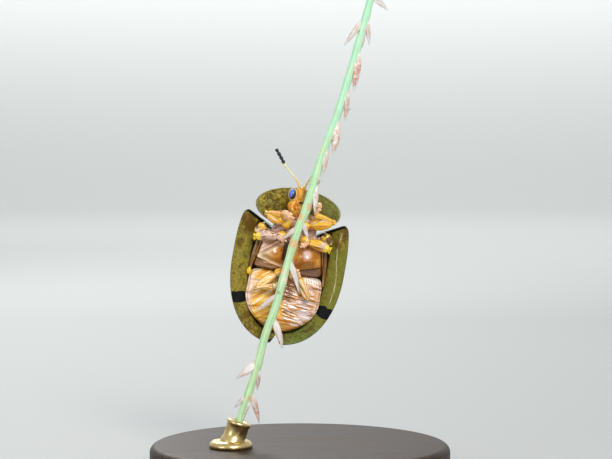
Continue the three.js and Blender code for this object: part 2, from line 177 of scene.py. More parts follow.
# A profile carried along a path: route + side * across + lift * over, closed by round ends.
# radii run along the path, flat thins it along lift, and shape(t, angle) multiplies the radius.
def loft(points, radii, rows=28, sides=16, flat=1.0, shape=None, ends=(1.0, 1.0)):
    t = 0.5 - 0.5 * np.cos(np.linspace(0, 1, rows) * np.pi)
    at, length = routeAt(points, t)
    nudge = 0.004
    ahead, _ = routeAt(points, np.clip(t + nudge, 0, 1))
    behind, _ = routeAt(points, np.clip(t - nudge, 0, 1))
    tangent = ahead - behind
    tangent /= np.linalg.norm(tangent, axis=1)[:, None]
    side = np.cross(tangent, [0, 0, 1.0])
    side /= np.linalg.norm(side, axis=1)[:, None]
    lift = np.cross(side, tangent)
    radius = np.interp(t, np.linspace(0, 1, len(radii)), radii)
    capA = np.clip(t * length / (radii[0] * ends[0] + 1e-9), 0, 1)
    capB = np.clip((1 - t) * length / (radii[-1] * ends[1] + 1e-9), 0, 1)
    radius = radius * np.sqrt(1 - (1 - capA) ** 2) * np.sqrt(1 - (1 - capB) ** 2)
    angle = fullTurn(sides)
    reach = radius[:, None] * (shape(t[:, None], angle[None, :]) if shape else 1.0) + 0 * angle
    across = side[:, None] * (reach * np.cos(angle))[..., None]
    over = lift[:, None] * (reach * np.sin(angle))[..., None] * flat
    return closedSurface(at[:, None] + across + over)


# How far from centre along each angle level(x, y) reaches 1
def rimReach(centre, angle, level, far=9.0):
    def inside(reach):
        return level(centre[0] + reach * np.cos(angle), centre[1] + reach * np.sin(angle)) < 1

    return farthest(inside, angle.shape, far, 34)


# A body between two height fields inside level(x, y) < 1: out over the back, round the rim, in over the belly
def lens(centre, level, back, belly, rings=90, sides=260, edge=0.08):
    angle = fullTurn(sides)
    full = rimReach(centre, angle, level)
    inner = np.maximum(full - edge, full * 0.5)
    out = np.sin(np.linspace(0, 1, rings) * np.pi / 2)[:, None]
    bend = np.linspace(90, -90, 9)[1:-1, None] * np.pi / 180
    x, y = centre[0] + out * inner * np.cos(angle), centre[1] + out * inner * np.sin(angle)
    upper, lower = back(x, y), belly(x, y)
    reach = inner + (full - inner) * np.cos(bend)
    middle, half = (upper[-1] + lower[-1]) / 2, (lower[-1] - upper[-1]) / 2
    rimX, rimY = centre[0] + reach * np.cos(angle), centre[1] + reach * np.sin(angle)
    rim = np.stack([rimX, rimY, middle - half * np.sin(bend)], -1)
    top = np.stack([x, y, upper], -1)
    under = np.stack([x, y, lower], -1)[::-1]
    return closedSurface(np.vstack([top, rim, under]))


# A skin round several eggs: along every direction from origin, where the soft minimum of their levels is 1
def eggSkin(origin, eggs, rows=60, sides=72, soft=9.0, bumps=None, far=3.0):
    polar = np.linspace(0, np.pi, rows)[:, None]
    turn = fullTurn(sides)[None, :]
    ray = np.stack([np.sin(polar) * np.cos(turn), np.cos(polar) + 0 * turn, np.sin(polar) * np.sin(turn)], -1)

    def inside(reach):
        p = origin + ray * reach[..., None]
        levels = [np.linalg.norm((p - centre) / radii, axis=-1) for centre, radii in eggs]
        return sum(np.exp(-soft * (level - 1)) for level in levels) > 1

    p = origin + ray * farthest(inside, ray.shape[:2], far, 30)[..., None]
    if bumps is not None:
        p = p + ray * bumps(p)[..., None]
    return closedSurface(p)


# One egg on its own
def egg(centre, radii, rows=36, sides=40):
    return eggSkin(centre, [(centre, radii)], rows, sides)


# The same points with their x times side
def sided(side, points):
    return [(side * x, y, z) for x, y, z in points]


# A turned piece: (radius, height) pairs from the foot of the axis to its top, carried round the axis
def turned(foot, axis, profile, sides=96):
    radius, height = np.asarray(profile, float).T
    axis = np.asarray(axis, float) / np.linalg.norm(axis)
    side = np.cross(axis, [0, 1.0, 0])
    side /= np.linalg.norm(side)
    front = np.cross(axis, side)
    angle = fullTurn(sides)
    around = side * np.cos(angle)[:, None] + front * np.sin(angle)[:, None]
    centre = np.asarray(foot, float) + axis * height[:, None]
    return closedSurface(centre[:, None] + around[None] * radius[:, None, None])


# Materials: the one that is being made, and small helpers that add nodes to its tree
making = {}


# Starts a material and gives the spot attribute, its x, its y and its z
def startMaterial(name):
    making["material"] = bpy.data.materials.new(name)
    making["material"].use_nodes = True
    making["tree"] = making["material"].node_tree
    making["tree"].nodes.clear()
    spot = spotOf()
    return spot, *split(spot)


def node(kind, inputs=None, **settings):
    tree = making["tree"]
    made = tree.nodes.new(kind)
    for key, value in settings.items():
        setattr(made, key, value)
    for key, value in (inputs or {}).items():
        if isinstance(value, bpy.types.NodeSocket):
            tree.links.new(value, made.inputs[key])
        else:
            made.inputs[key].default_value = value
    return made


def maths(operation, a, b=0.0):
    return node("ShaderNodeMath", {0: a, 1: b}, operation=operation).outputs[0]


# One operation over all the values, from the first to the last
def chain(operation, values):
    total = values[0]
    for value in values[1:]:
        total = maths(operation, total, value)
    return total


def plus(*values):
    return chain("ADD", values)


def times(*values):
    return chain("MULTIPLY", values)


def most(*values):
    return chain("MAXIMUM", values)


def minus(a, b):
    return maths("SUBTRACT", a, b)


def absolute(a):
    return maths("ABSOLUTE", a)


# a where the factor is 0, b where it is 1
def blend(factor, a, b):
    a, b = [c if isinstance(c, bpy.types.NodeSocket) else (*c, 1.0) for c in (a, b)]
    return node("ShaderNodeMix", {0: factor, 6: a, 7: b}, data_type="RGBA").outputs[2]


# Lays paints over a colour one after another, each as strongly as its mask says
def layered(colour, layers):
    for mask, paint in layers:
        colour = blend(mask, colour, paint)
    return colour


# Smooth step of a value from low to high
def ramp(value, low, high, start=0.0, end=1.0):
    inputs = {0: value, 1: low, 2: high, 3: start, 4: end}
    return node("ShaderNodeMapRange", inputs, interpolation_type="SMOOTHSTEP").outputs[0]


# strength where a value is at centre, fading to 0 at width on either side
def stripe(value, centre, width, strength=1.0):
    return ramp(absolute(minus(value, centre)), 0.0, width, strength, 0.0)


def spotOf(key="spot"):
    return node("ShaderNodeAttribute", attribute_name=key).outputs["Vector"]


def split(vector):
    return node("ShaderNodeSeparateXYZ", {0: vector}).outputs


def vectorOf(x, y, z=0.0):
    return node("ShaderNodeCombineXYZ", {0: x, 1: y, 2: z}).outputs[0]


def vectorMaths(operation, a, b=(0, 0, 0)):
    return node("ShaderNodeVectorMath", {0: a, 1: b}, operation=operation).outputs


def stretched(vector, scale):
    return vectorMaths("MULTIPLY", vector, scale)[0]


def noise(vector, scale, detail=4.0, rough=0.55, warp=0.0):
    inputs = {"Vector": vector, "Scale": scale, "Detail": detail, "Roughness": rough, "Distortion": warp}
    return node("ShaderNodeTexNoise", inputs).outputs[0]


# 1 on the walls between cells and 0 inside them
def network(vector, scale, width):
    inputs = {"Vector": vector, "Scale": scale}
    cells = node("ShaderNodeTexVoronoi", inputs, feature="DISTANCE_TO_EDGE").outputs[0]
    return ramp(cells, 0.0, width, 1.0, 0.0)


# 1 inside an oval of the spot coordinates, fading over soft
def oval(centre, radii, soft=0.25, wobble=None):
    spot = spotOf()
    if wobble is not None:
        spot = vectorMaths("ADD", spot, wobble)[0]
    moved = vectorMaths("SUBTRACT", spot, (*centre, 0.0))[0]
    scale = tuple(1 / r for r in radii) + (0.0,)
    length = vectorMaths("LENGTH", stretched(moved, scale))[1]
    return ramp(length, 1 - soft, 1 + soft, 1.0, 0.0)


# Several ovals as one mask, each row a centre, radii and softness
def ovals(rows, wobble=None):
    return most(*(oval(*row, wobble) for row in rows))


# A wandering offset that makes the edges of marks uneven
def wobbleOf(scale, amount):
    inputs = {"Vector": spotOf(), "Scale": scale, "Detail": 3.0}
    raw = node("ShaderNodeTexNoise", inputs).outputs["Color"]
    return stretched(vectorMaths("SUBTRACT", raw, (0.5, 0.5, 0.5))[0], (amount, amount, amount))


# Ends a material in a Principled shader, with a bump of height over depth in mm
def finishMaterial(colour, rough, height=None, depth=0.02, **sockets):
    if height is not None:
        bump = node("ShaderNodeBump", {"Height": height, "Strength": 1.0, "Distance": depth * 0.001})
        sockets["Normal"] = bump.outputs[0]
    shader = node("ShaderNodeBsdfPrincipled", {"Base Color": colour, "Roughness": rough, **sockets})
    node("ShaderNodeOutputMaterial", {0: shader.outputs[0]})
    return making["material"]


shellSockets = {"Subsurface Weight": 0.1, "Subsurface Radius": (0.0003, 0.0002, 0.0001),
                "Specular IOR Level": 0.14, "Coat Weight": 0.03, "Coat Roughness": 0.2}
glossSockets = {"Subsurface Weight": 0.16, "Subsurface Radius": (0.0004, 0.0002, 0.0001),
                "Specular IOR Level": 0.5, "Coat Weight": 0.6, "Coat Roughness": 0.09}
print("stage: helpers ready")

# Wing cases
wingCaseLook = {
    "halfWidth": 3.95, "rear": 5.6, "front": 5.6, "rearPower": 2.2, "frontPower": 3.0,
    "domeHalfWidth": 2.7, "domeRear": 4.77, "domeFront": 5.2, "domeFrontPower": 3.0,
    "domeRearPower": 2.5,
    "height": 3.3, "brimRise": 0.5, "forwardFall": 0.2, "thickness": 0.2,
    "frontStart": 1.47, "frontSlope": 0.583, "pitStep": 0.3, "pitDepth": 0.07,
    "olive": (0.285, 0.235, 0.032), "green": (0.185, 0.185, 0.026), "brown": (0.100, 0.045, 0.005),
    "leaf": (0.150, 0.215, 0.045), "black": (0.0025, 0.0025, 0.004), "inside": (0.20, 0.085, 0.010),
    "paintedGlintLine": (0.62, 0.56, 0.34), "rim": (0.07, 0.045, 0.010),
    "patches": [((3.55, 2.8), (0.22, 0.55), 0.35), ((-3.1, 2.5), (0.3, 0.75), 0.4),  # centre, radii, softness
                ((-3.6, 1.0), (0.2, 0.4), 0.35), ((3.1, 2.0), (0.18, 0.3), 0.4)],
    "marks": [((-3.2, -2.82), (0.75, 0.38), 0.05), ((-2.85, -2.62), (0.42, 0.3), 0.05),
              ((3.2, -2.9), (0.75, 0.38), 0.05), ((2.85, -2.7), (0.42, 0.32), 0.05),
              ((0, -5.62), (0.7, 0.36), 0.08), ((-3.4, 3.5), (0.42, 0.22), 0.12),
              ((3.45, 3.5), (0.42, 0.22), 0.12), ((-1.5, 1.3), (0.45, 0.3), 0.1),
              ((1.5, 1.3), (0.45, 0.3), 0.1)],
}


# Rounded oblong: (|x / a|^p + |y / b|^p)^(1 / p), with its own b and p before and behind
def oblong(x, y, halfWidth, front, rear, frontPower, rearPower):
    end = np.where(y < 0, rear, front)
    power = np.where(y < 0, rearPower, frontPower)
    return ((np.abs(x) / halfWidth) ** power + (np.abs(y) / end) ** power) ** (1 / power)


# How near (x, y) is to the rim of the wing cases, 1 on it
def caseReach(x, y):
    look = wingCaseLook
    return oblong(x, y, look["halfWidth"], look["front"], look["rear"], look["frontPower"], look["rearPower"])


# The same for the foot of the dome
def domeReach(x, y):
    look = wingCaseLook
    powers = look["domeFrontPower"], look["domeRearPower"]
    return oblong(x, y, look["domeHalfWidth"], look["domeFront"], look["domeRear"], *powers)


# Back: the dome -(1 - dome^2.1)^0.8 lowered towards the head, inside a brim that rises to its rim
def caseBack(x, y):
    look = wingCaseLook
    rim, dome = np.minimum(1, caseReach(x, y)), domeReach(x, y)
    share = (1 - rim) / (1 - rim + np.maximum(0, dome - 1) + 1e-9)
    swell = (1 + 0.05 * np.minimum(y, 2)) * (1 - look["forwardFall"] * ease(y, 0.3, 2.2))
    round_ = np.clip(1 - np.minimum(dome, 1) ** 2.1, 0, 1) ** 0.8
    domeZ = -look["brimRise"] - (look["height"] - look["brimRise"]) * swell * round_
    inBrim = ease(dome, 0.985, 1.015)
    return 0.08 - inBrim * look["brimRise"] * share**1.2 + (1 - inBrim) * domeZ


# Rows of round pits along the dome, deeper towards its middle, and three low ribs between them
def casePits(x, y):
    look = wingCaseLook
    spread = np.abs(x) * (1 + 0.012 * y * y)
    row = spread / look["pitStep"]
    step = y / (look["pitStep"] * 0.9) + 0.5 * np.floor(row)
    offRow, offStep = row - np.floor(row) - 0.5, step - np.floor(step) - 0.5
    pit = np.exp(-((offRow / 0.26) ** 2) - (offStep / 0.28) ** 2)
    onDome = ease(domeReach(x, y), 0.97, 0.86)
    ribs = bell(spread - 0.62, 0.09) + bell(spread - 1.25, 0.08) + 0.7 * bell(spread - 1.9, 0.08)
    brimCells = 0.012 * ripple(x, y, 6.0, 8) * (1 - onDome)
    return onDome * (look["pitDepth"] * pit * (1 - ribs) - 0.06 * ribs) + brimCells


# Underside: the back moved down, with a raised front border, a fold inside the rim and faint veins
def caseBelly(x, y):
    look = wingCaseLook
    dome = domeReach(x, y)
    behindEdge = look["frontStart"] + look["frontSlope"] * np.abs(x) - y
    border = 0.12 * bell(behindEdge - 0.11, 0.09)
    fold = 0.03 * bell(caseReach(x, y) - 0.965, 0.012)
    veins = 0.01 * ripple(x, y, 7.0, 3) * ease(dome, 1.0, 1.06)
    return caseBack(x, y) + look["thickness"] * (1 + 0.3 * ease(dome, 1.0, 0.8)) + border + fold + veins


# One wing case: inside the outline, behind the slanting front edge, off the rounded shoulder and the seam
def wingCase(side):
    look = wingCaseLook
    softness, scale = 32.0, 2.5  # how sharply the edges join, and mm to a unit of the straight ones

    def level(x, y):
        x = x * side
        front = (y - look["frontStart"] - look["frontSlope"] * x) / scale
        seam = 0.012 + 0.34 * ease(y, -4.8, -5.75) - x
        shoulder = (0.447 * x + 0.894 * y - 4.60) / scale
        outer = caseReach(x, y) - 1
        total = sum(np.exp(softness * edge) for edge in (front, seam, shoulder, outer))
        return 1 + np.log(total) / softness

    def back(x, y):
        return caseBack(x, y) + casePits(x, y)

    shape = lens((side * 1.75, -0.6), level, back, caseBelly, rings=112, sides=410, edge=0.07)
    return marked(shape, domeReach)


def wingCaseMaterial():
    look = wingCaseLook
    spot, x, y, z = startMaterial("wingCaseShell")
    dome = split(spotOf("lay"))[2]
    across = absolute(x)
    patch = noise(spot, 0.8, 3, 0.5)
    greener = plus(patch, ramp(x, -3.0, 3.0, -0.12, 0.12))
    colour = blend(ramp(greener, 0.42, 0.58), look["olive"], look["green"])
    leafy = times(ramp(plus(y, times(patch, 1.5)), -2.6, -3.6), ramp(x, -0.5, 0.8))
    speckle = noise(spot, 4.6, 6, 0.7, 0.5)
    blotch = noise(spot, 1.5, 5, 0.62, 0.4)
    leftward = ramp(x, 2.2, -3.2, 0.0, 0.05)
    ends = plus(ramp(y, 0.4, 3.0, 0.0, 0.09), ramp(y, -2.6, -4.2, 0.0, 0.07))
    amount = plus(speckle, leftward, ends)
    blotchy = plus(blotch, leftward, ends)
    dust = noise(spot, 9.0, 4, 0.7)
    walls = network(stretched(spot, (1.0, 1.0, 0.4)), 2.6, 0.12)
    # A pale wandering painted highlight along the brim, stronger on the right
    wave = maths("SINE", plus(0.53, times(y, -1.3)))
    off = minus(across, plus(3.32, times(wave, 0.14)))
    off = plus(off, times(plus(noise(spot, 2.4, 3, 0.6), -0.5), 0.22))
    inLength = times(ramp(y, -2.3, -1.9), ramp(y, 3.1, 2.7))
    paintedGlint = times(stripe(off, 0.0, 0.055), inLength)
    paintedGlint = times(paintedGlint, ramp(dust, 0.36, 0.52, 0.4, 1.0))
    wobble = wobbleOf(2.6, 0.2)
    # The straight front border is black, and a thin dark line runs round the rim
    line = minus(y, times(across, look["frontSlope"]))
    black = most(ovals(look["marks"], wobble),
                 ramp(line, look["frontStart"] - 0.28, look["frontStart"] - 0.22))
    rimLine = stripe(split(spotOf("lay"))[0], 0.5, 0.03, 0.7)
    rough = plus(ramp(speckle, 0.3, 0.7, 0.28, 0.42), times(black, 0.2))
    height = plus(times(walls, 0.4), speckle)
    colour = layered(colour, [
        (leafy, look["leaf"]),
        (ramp(amount, 0.54, 0.68, 0.0, 0.7), look["brown"]),
        (ramp(blotchy, 0.6, 0.7, 0.0, 0.75), look["brown"]),
        (ramp(dust, 0.52, 0.66, 0.0, 0.5), look["brown"]),
        (times(walls, 0.25), look["brown"]),
        # Below the dome the shell is deep golden brown, with a dark line at the fold
        (times(ramp(dome, 1.01, 0.97), ramp(z, -0.3, -1.2, 1.0, 0.35)), look["inside"]),
        (stripe(dome, 1.0, 0.03, 0.85), look["black"]),
        # The pale line along the brim is a painted highlight
        (times(paintedGlint, ramp(x, -1.0, 1.0, 0.12, 0.8)), look["paintedGlintLine"]),
        (times(ovals(look["patches"], wobble), 0.7), look["brown"]),
        (black, look["black"]),
        (rimLine, look["rim"]),
    ])
    return finishMaterial(colour, rough, height, 0.03, **shellSockets)


wingCaseFinish = wingCaseMaterial()
for side, word in ((-1, "left"), (1, "right")):
    addPiece("wingCase_" + word, [wingCase(side)], wingCaseFinish, ["wing_case_" + word])
print("stage: wing cases")

# Neck shield
neckShieldLook = {
    "y": 3.98, "halfWidth": 2.98, "front": 1.42, "rear": 1.5, "lobe": 0.6, "rise": 2.5, "thickness": 0.16,
    "olive": (0.310, 0.295, 0.072), "yellow": (0.56, 0.42, 0.040), "brown": (0.110, 0.048, 0.007),
    "rim": (0.30, 0.30, 0.11), "darkSide": (0.22, 0.235, 0.066),
}


# Oval plan with its own length before and behind, and a lobe at the middle of its rear edge
def shieldReach(x, y):
    look = neckShieldLook
    rear = look["rear"] + look["lobe"] * bell(x, 0.95)
    end = np.where(y > look["y"], look["front"], rear)
    return np.hypot(x / look["halfWidth"], (y - look["y"]) / end)


# Roof: (1 - (x / a)^2)^1.2 * (distance behind the front edge)^1.15
def shieldBack(x, y):
    look = neckShieldLook
    across = np.clip(1 - (x / look["halfWidth"]) ** 2, 0, 1)
    behind = np.clip((look["y"] + look["front"] - y) / (look["front"] + look["rear"]), 0, 1.2)
    return 0.02 - look["rise"] * across**1.2 * behind**1.15


# Underside: the roof moved down by the thickness, with a low bead inside its rim
def shieldBelly(x, y):
    rim = 0.05 * bell(shieldReach(x, y) - 0.965, 0.02)
    return shieldBack(x, y) + neckShieldLook["thickness"] + rim + 0.012 * ripple(x, y, 6.0, 5)


def neckShieldMaterial():
    look = neckShieldLook
    spot, x, y, _ = startMaterial("neckShieldShell")
    leftward = ramp(x, 2.0, -2.0, -0.05, 0.06)
    patch = plus(noise(spot, 1.5, 4, 0.6, 0.3), leftward)
    colour = blend(ramp(x, -0.6, 1.6), look["olive"], look["darkSide"])
    speckle = plus(noise(spot, 3.6, 6, 0.7, 0.9), leftward)
    walls = network(stretched(spot, (1.0, 1.0, 0.4)), 2.5, 0.14)
    ring = split(spotOf("lay"))[2]
    height = plus(times(walls, 0.6), speckle)
    colour = layered(colour, [
        (ramp(patch, 0.52, 0.66, 0.0, 0.8), look["yellow"]),
        (ramp(speckle, 0.52, 0.64, 0.0, 0.85), look["brown"]),
        (times(walls, 0.45), look["brown"]),
        (ramp(ring, 0.93, 0.97, 0.0, 0.6), look["rim"]),
        (ramp(ring, 0.98, 0.995, 0.0, 0.7), look["brown"]),
    ])
    return finishMaterial(colour, 0.34, height, 0.03, **shellSockets)


shieldMiddle = (0, neckShieldLook["y"])
shieldShape = lens(shieldMiddle, shieldReach, shieldBack, shieldBelly, rings=90, sides=320, edge=0.06)
shieldParts = [marked(shieldShape, shieldReach)]
addPiece("neckShieldShell", shieldParts, neckShieldMaterial(), ["neck_shield"])
print("stage: neck shield")

# Chest: two polished swellings, a groove between them, low plates at the sides and yellow shoulder bumps
chestLook = {
    "halfWidth": 2.55, "front": 1.6, "rear": 1.74, "middle": 1.15, "power": 7.0,
    "amber": (0.46, 0.155, 0.010), "light": (0.74, 0.34, 0.045), "dark": (0.055, 0.016, 0.003),
    "pink": (0.74, 0.48, 0.36), "yellow": (0.80, 0.52, 0.03), "cream": (0.90, 0.70, 0.46),
    "groove": (0.22, 0.09, 0.018), "rearShade": (0.22, 0.075, 0.008), "frontTan": (0.46, 0.26, 0.17),
    "middleBlack": (0.012, 0.008, 0.012), "rearStrip": (0.15, 0.05, 0.006), "sidePlate": (0.15, 0.055, 0.009),
    "sideLine": (0.52, 0.22, 0.02), "paintedHighlight": (0.88, 0.74, 0.76), "pale": (0.80, 0.62, 0.5),
    "cornerAcross": 0.576, "cornerAlong": 0.817, "flankSlope": 0.19, "rearSlope": 0.274,
    # Ovals by centre, radii and softness
    "bumps": [((-2.36, 2.24), (0.4, 0.42), 0.18), ((2.36, 2.24), (0.4, 0.42), 0.18)],
    "paleSpots": [((-2.3, 1.98), (0.34, 0.17), 0.3), ((2.2, 1.95), (0.2, 0.14), 0.3)],
    "nicks": [((-2.62, 2.26), (0.07, 0.2), 0.4), ((2.5, 2.2), (0.2, 0.3), 0.3),
              ((2.1, 2.5), (0.14, 0.12), 0.3)],
}


# Oblong, less its front corners ahead of the wing cases' front edges
def chestReach(x, y):
    look, ax = chestLook, np.abs(x)
    reach, power = (look["halfWidth"], look["front"], look["rear"]), look["power"]
    whole = oblong(x, y - look["middle"], *reach, power, power)
    ahead = 1 + y - wingCaseLook["frontStart"] + 0.02 - wingCaseLook["frontSlope"] * ax
    return np.where(ax > 1.55, np.maximum(whole, ahead), whole)


# The slanting edge across each swelling: 0 on the edge, above 0 towards the shoulder
def chestCorner(x, y):
    look = chestLook
    return look["cornerAcross"] * np.abs(x) + look["cornerAlong"] * y - 1.497 + 0.05 * ripple(x, y, 2.2, 6)


# Plateaus with eased sides for the swellings, less a middle groove, leg sockets, side plates and a rear step
def chestBelly(x, y):
    look, ax = chestLook, np.abs(x)
    flank = ax + look["flankSlope"] * y
    rearEdge = y + 0.413 - look["rearSlope"] * ax
    onLeft = ease(x, 0.3, -0.3)
    inner = np.where(x < 0, ease(-x, 0.42, 0.75), ease(x, 0.1, 0.7))
    plate = inner * ease(flank, 2.36, 1.7) * ease(rearEdge, 0.0, 0.55) * ease(y, 1.62, 1.1)
    corner = chestCorner(x, y)
    bulge = np.exp(-(((ax - 1.2) / 0.72) ** 2) - ((y - 0.7) / 0.6) ** 2)
    step = 1 - onLeft * 0.55 * ease(corner, 0, 0.3)
    swelling = plate * (0.16 + 0.46 * bulge) * step + 0.05 * plate * bell(corner, 0.07) * onLeft
    groove = -0.22 * bell(x + 0.2, 0.22) * ease(y, -0.3, 0.2) * ease(y, 1.8, 1.4)
    sockets = -0.28 * ease(y, 1.5, 1.8) * ease(ax, 0.2, 0.5) + 0.05 * ripple(x, y, 5.0, 7) * ease(y, 1.5, 1.9)
    sides = -0.26 * ease(flank, 2.24, 2.42)
    rear = -0.14 * ease(rearEdge, 0.06, -0.1) - 0.1 * bell(y + 0.47, 0.08) * onLeft
    folds = 0.02 * np.sin(24 * (y + 0.06 * x)) * ease(rearEdge, 0.1, -0.05) * ease(x, 0.6, -0.3)
    drop = -0.4 * ease(chestReach(x, y), 0.96, 1.0)
    return 0.4 - 0.04 * x * x + swelling + groove + sockets + sides + rear + folds + drop


# The trunk's back: the wing cases' back moved 0.42 mm towards the belly, at most z = -0.12
def trunkRoof(x, y):
    return np.minimum(-0.12, caseBack(x, y) + 0.42)


def chestMaterial():
    look = chestLook
    spot, x, y, z = startMaterial("chestPlates")
    across = absolute(x)
    cloud = noise(spot, 1.7, 4, 0.55, 0.3)
    colour = blend(ramp(cloud, 0.42, 0.66), look["amber"], look["light"])
    corner = plus(times(across, look["cornerAcross"]), times(y, look["cornerAlong"]), -1.56,
                  times(noise(spot, 1.8, 3, 0.5), 0.13))
    onLeft = ramp(x, 0.3, -0.3)
    brush = noise(stretched(vectorOf(corner, times(x, 0.35)), (7.0, 1.0, 1.0)), 1.0, 4, 0.6)
    outer = times(ramp(corner, 0.0, 0.14), onLeft)
    # A cream painted highlight along the slanting edge of the left swelling
    edgeHighlight = times(stripe(corner, 0.0, 0.15), onLeft)
    # The right swelling darkens towards the rear
    shade = times(ramp(x, 0.0, 0.4), ramp(y, 0.7, -0.1, 0.0, 0.75))
    streak = noise(stretched(spot, (1.2, 4.5, 1.0)), 2.2, 4, 0.6, 0.5)
    front = ramp(y, 1.45, 1.75)
    middle = ramp(absolute(plus(x, 0.2)), 0.4, 0.28)
    middle = times(middle, ramp(y, 0.15, 0.35), ramp(y, 1.75, 1.55))
    # The rear groove, brown with a pale band before it on the left
    wander = times(noise(spot, 2.0, 3, 0.5), 0.14)
    rearEdge = plus(y, wander, 0.343, times(across, -look["rearSlope"]))
    groove = ramp(rearEdge, 0.04, -0.06)
    rightRear = times(groove, ramp(x, 0.1, 0.5))
    crease = noise(stretched(spot, (0.5, 6.0, 1.0)), 1.8, 3, 0.6)
    pinkFold = times(groove, onLeft, ramp(crease, 0.44, 0.36, 0.0, 0.6))
    seam = times(stripe(plus(y, wander), -0.4, 0.13, 0.9), onLeft)
    band = times(stripe(rearEdge, 0.14, 0.17), onLeft)
    # Side plates: brown, between a dark line and an orange one
    flank = plus(across, times(y, look["flankSlope"]))
    sides = times(ramp(flank, 2.28, 2.38), ramp(y, 1.9, 1.6))
    # The front corners carry on the black front border of the wing cases
    line = minus(y, times(across, wingCaseLook["frontSlope"]))
    border = times(ramp(line, 1.19, 1.25), ramp(across, 1.5, 1.65))
    wobble = wobbleOf(3.0, 0.35)
    # A pale painted highlight on the right swelling
    paintedHighlight = oval((1.15, 0.98), (0.26, 0.3), 0.7, wobble)
    patchy = ramp(noise(spot, 2.6, 4, 0.65), 0.38, 0.5, 0.25, 0.95)
    height = plus(noise(spot, 7.0, 4, 0.55), times(streak, front))
    sockets = {**glossSockets, "Coat Weight": 0.8, "Coat Roughness": 0.16}
    colour = layered(colour, [
        # The left swelling pales outwards; beyond its slanting edge it is pinkish, streaked brown, and a
        # cream painted highlight runs along that edge
        (times(onLeft, ramp(x, -0.8, -2.1, 0.0, 0.55)), look["cream"]),
        (times(outer, 0.8), look["pink"]),
        (times(outer, ramp(brush, 0.5, 0.62, 0.0, 0.8)), look["groove"]),
        (times(edgeHighlight, ramp(cloud, 0.35, 0.6, 0.35, 0.85)), look["cream"]),
        (shade, look["rearShade"]),
        # Low-lying parts are darkened to dark brown: painted shade in the recesses
        (ramp(z, 0.36, 0.0), look["groove"]),
        (times(front, 0.75), look["frontTan"]),
        (times(front, ramp(streak, 0.46, 0.56, 0.0, 0.85)), look["pink"]),
        (times(front, ramp(streak, 0.42, 0.36, 0.0, 0.75)), look["dark"]),
        (times(middle, 0.93), look["middleBlack"]),
        (times(groove, 0.9), look["groove"]),
        (times(rightRear, 0.8), look["rearStrip"]),
        (times(groove, ramp(crease, 0.5, 0.6, 0.0, 0.85)), look["dark"]),
        (pinkFold, look["pink"]),
        (seam, look["dark"]),
        (times(band, ramp(cloud, 0.35, 0.6, 0.5, 0.9)), look["cream"]),
        (times(sides, 0.85), look["sidePlate"]),
        (times(stripe(flank, 2.33, 0.06), sides), look["dark"]),
        (times(stripe(flank, 2.44, 0.07), sides), look["sideLine"]),
        (times(oval((-2.66, -0.86), (0.24, 0.3), 0.15), 0.9), look["yellow"]),
        (border, wingCaseLook["black"]),
        # Pale painted highlight on the right swelling
        (times(paintedHighlight, 0.7), look["paintedHighlight"]),
        (times(ovals(look["bumps"], wobble), patchy), look["yellow"]),
        (times(ovals(look["paleSpots"], wobble), 0.85), look["pale"]),
        (times(ovals(look["nicks"], wobble), 0.85), look["dark"]),
    ])
    return finishMaterial(colour, 0.26, height, 0.014, **sockets)


# Shoulder bump section: five soft lobes that turn along it, and slow waves lengthwise
def bumpForm(t, angle):
    return 1 + 0.06 * np.sin(5 * angle + 9 * t) + 0.05 * np.sin(17 * t)


chestMiddle = (0, chestLook["middle"])
chestShape = lens(chestMiddle, chestReach, trunkRoof, chestBelly, rings=100, sides=380, edge=0.12)
chestParts = [chestShape, egg((0, 1.72, -2.0), (0.4, 0.34, 0.62))]  # and the plate between the wing cases
for side in (-1, 1):
    bump = sided(side, [(2.0, 2.08, 0.0), (2.26, 2.3, 0.06), (2.46, 2.08, 0.02), (2.44, 1.75, 0.0)])
    chestParts.append(loft(bump, [0.2, 0.32, 0.3, 0.18], 40, 36, 0.62, bumpForm))
    strip = sided(side, [(2.36, 1.6, 0.02), (2.5, 0.6, 0.06), (2.6, -0.4, 0.04), (2.62, -1.1, -0.04)])
    chestParts.append(loft(strip, [0.08, 0.12, 0.11, 0.07], 50, 20, 0.8))
chestParts.append(egg((-2.64, -0.86, 0.0), (0.17, 0.25, 0.16)))  # the yellow knob at the waist
addPiece("chestPlates", chestParts, chestMaterial(), ["thorax"])
print("stage: chest")

# Abdomen: five rings that overlap like tiles, finely wrinkled
abdomenLook = {
    "halfWidth": 2.6, "waist": -0.55, "middle": -2.4, "end": -4.72, "rings": 5, "slant": 0.72,
    "amber": (0.70, 0.29, 0.020), "yellow": (0.88, 0.55, 0.035), "cream": (0.92, 0.72, 0.56),
    "dark": (0.16, 0.045, 0.005), "tip": (0.36, 0.120, 0.005), "lilacHighlight": (0.80, 0.68, 0.68),
    "fold": (0.50, 0.20, 0.03), "brown": (0.42, 0.17, 0.02), "edge": (0.88, 0.66, 0.54),
    "centre": (0.24, 0.075, 0.006), "frill": (0.95, 0.92, 0.86),
}


# Oblong, blunt at the waist and rounded at the tip
def abdomenReach(x, y):
    look = abdomenLook
    ahead, behind = look["waist"] - look["middle"], look["middle"] - look["end"]
    return oblong(x, y - look["middle"], look["halfWidth"], ahead, behind, 8.0, 1.75)


# How many rings lie between the waist and y, with joints that bow by 0.045 x^2
def ringPhase(x, y):
    look = abdomenLook
    bowed = y + 0.045 * x * x * ease(y, -1.2, -3.6)
    return (look["waist"] - bowed) / (look["waist"] - look["end"]) * look["rings"]


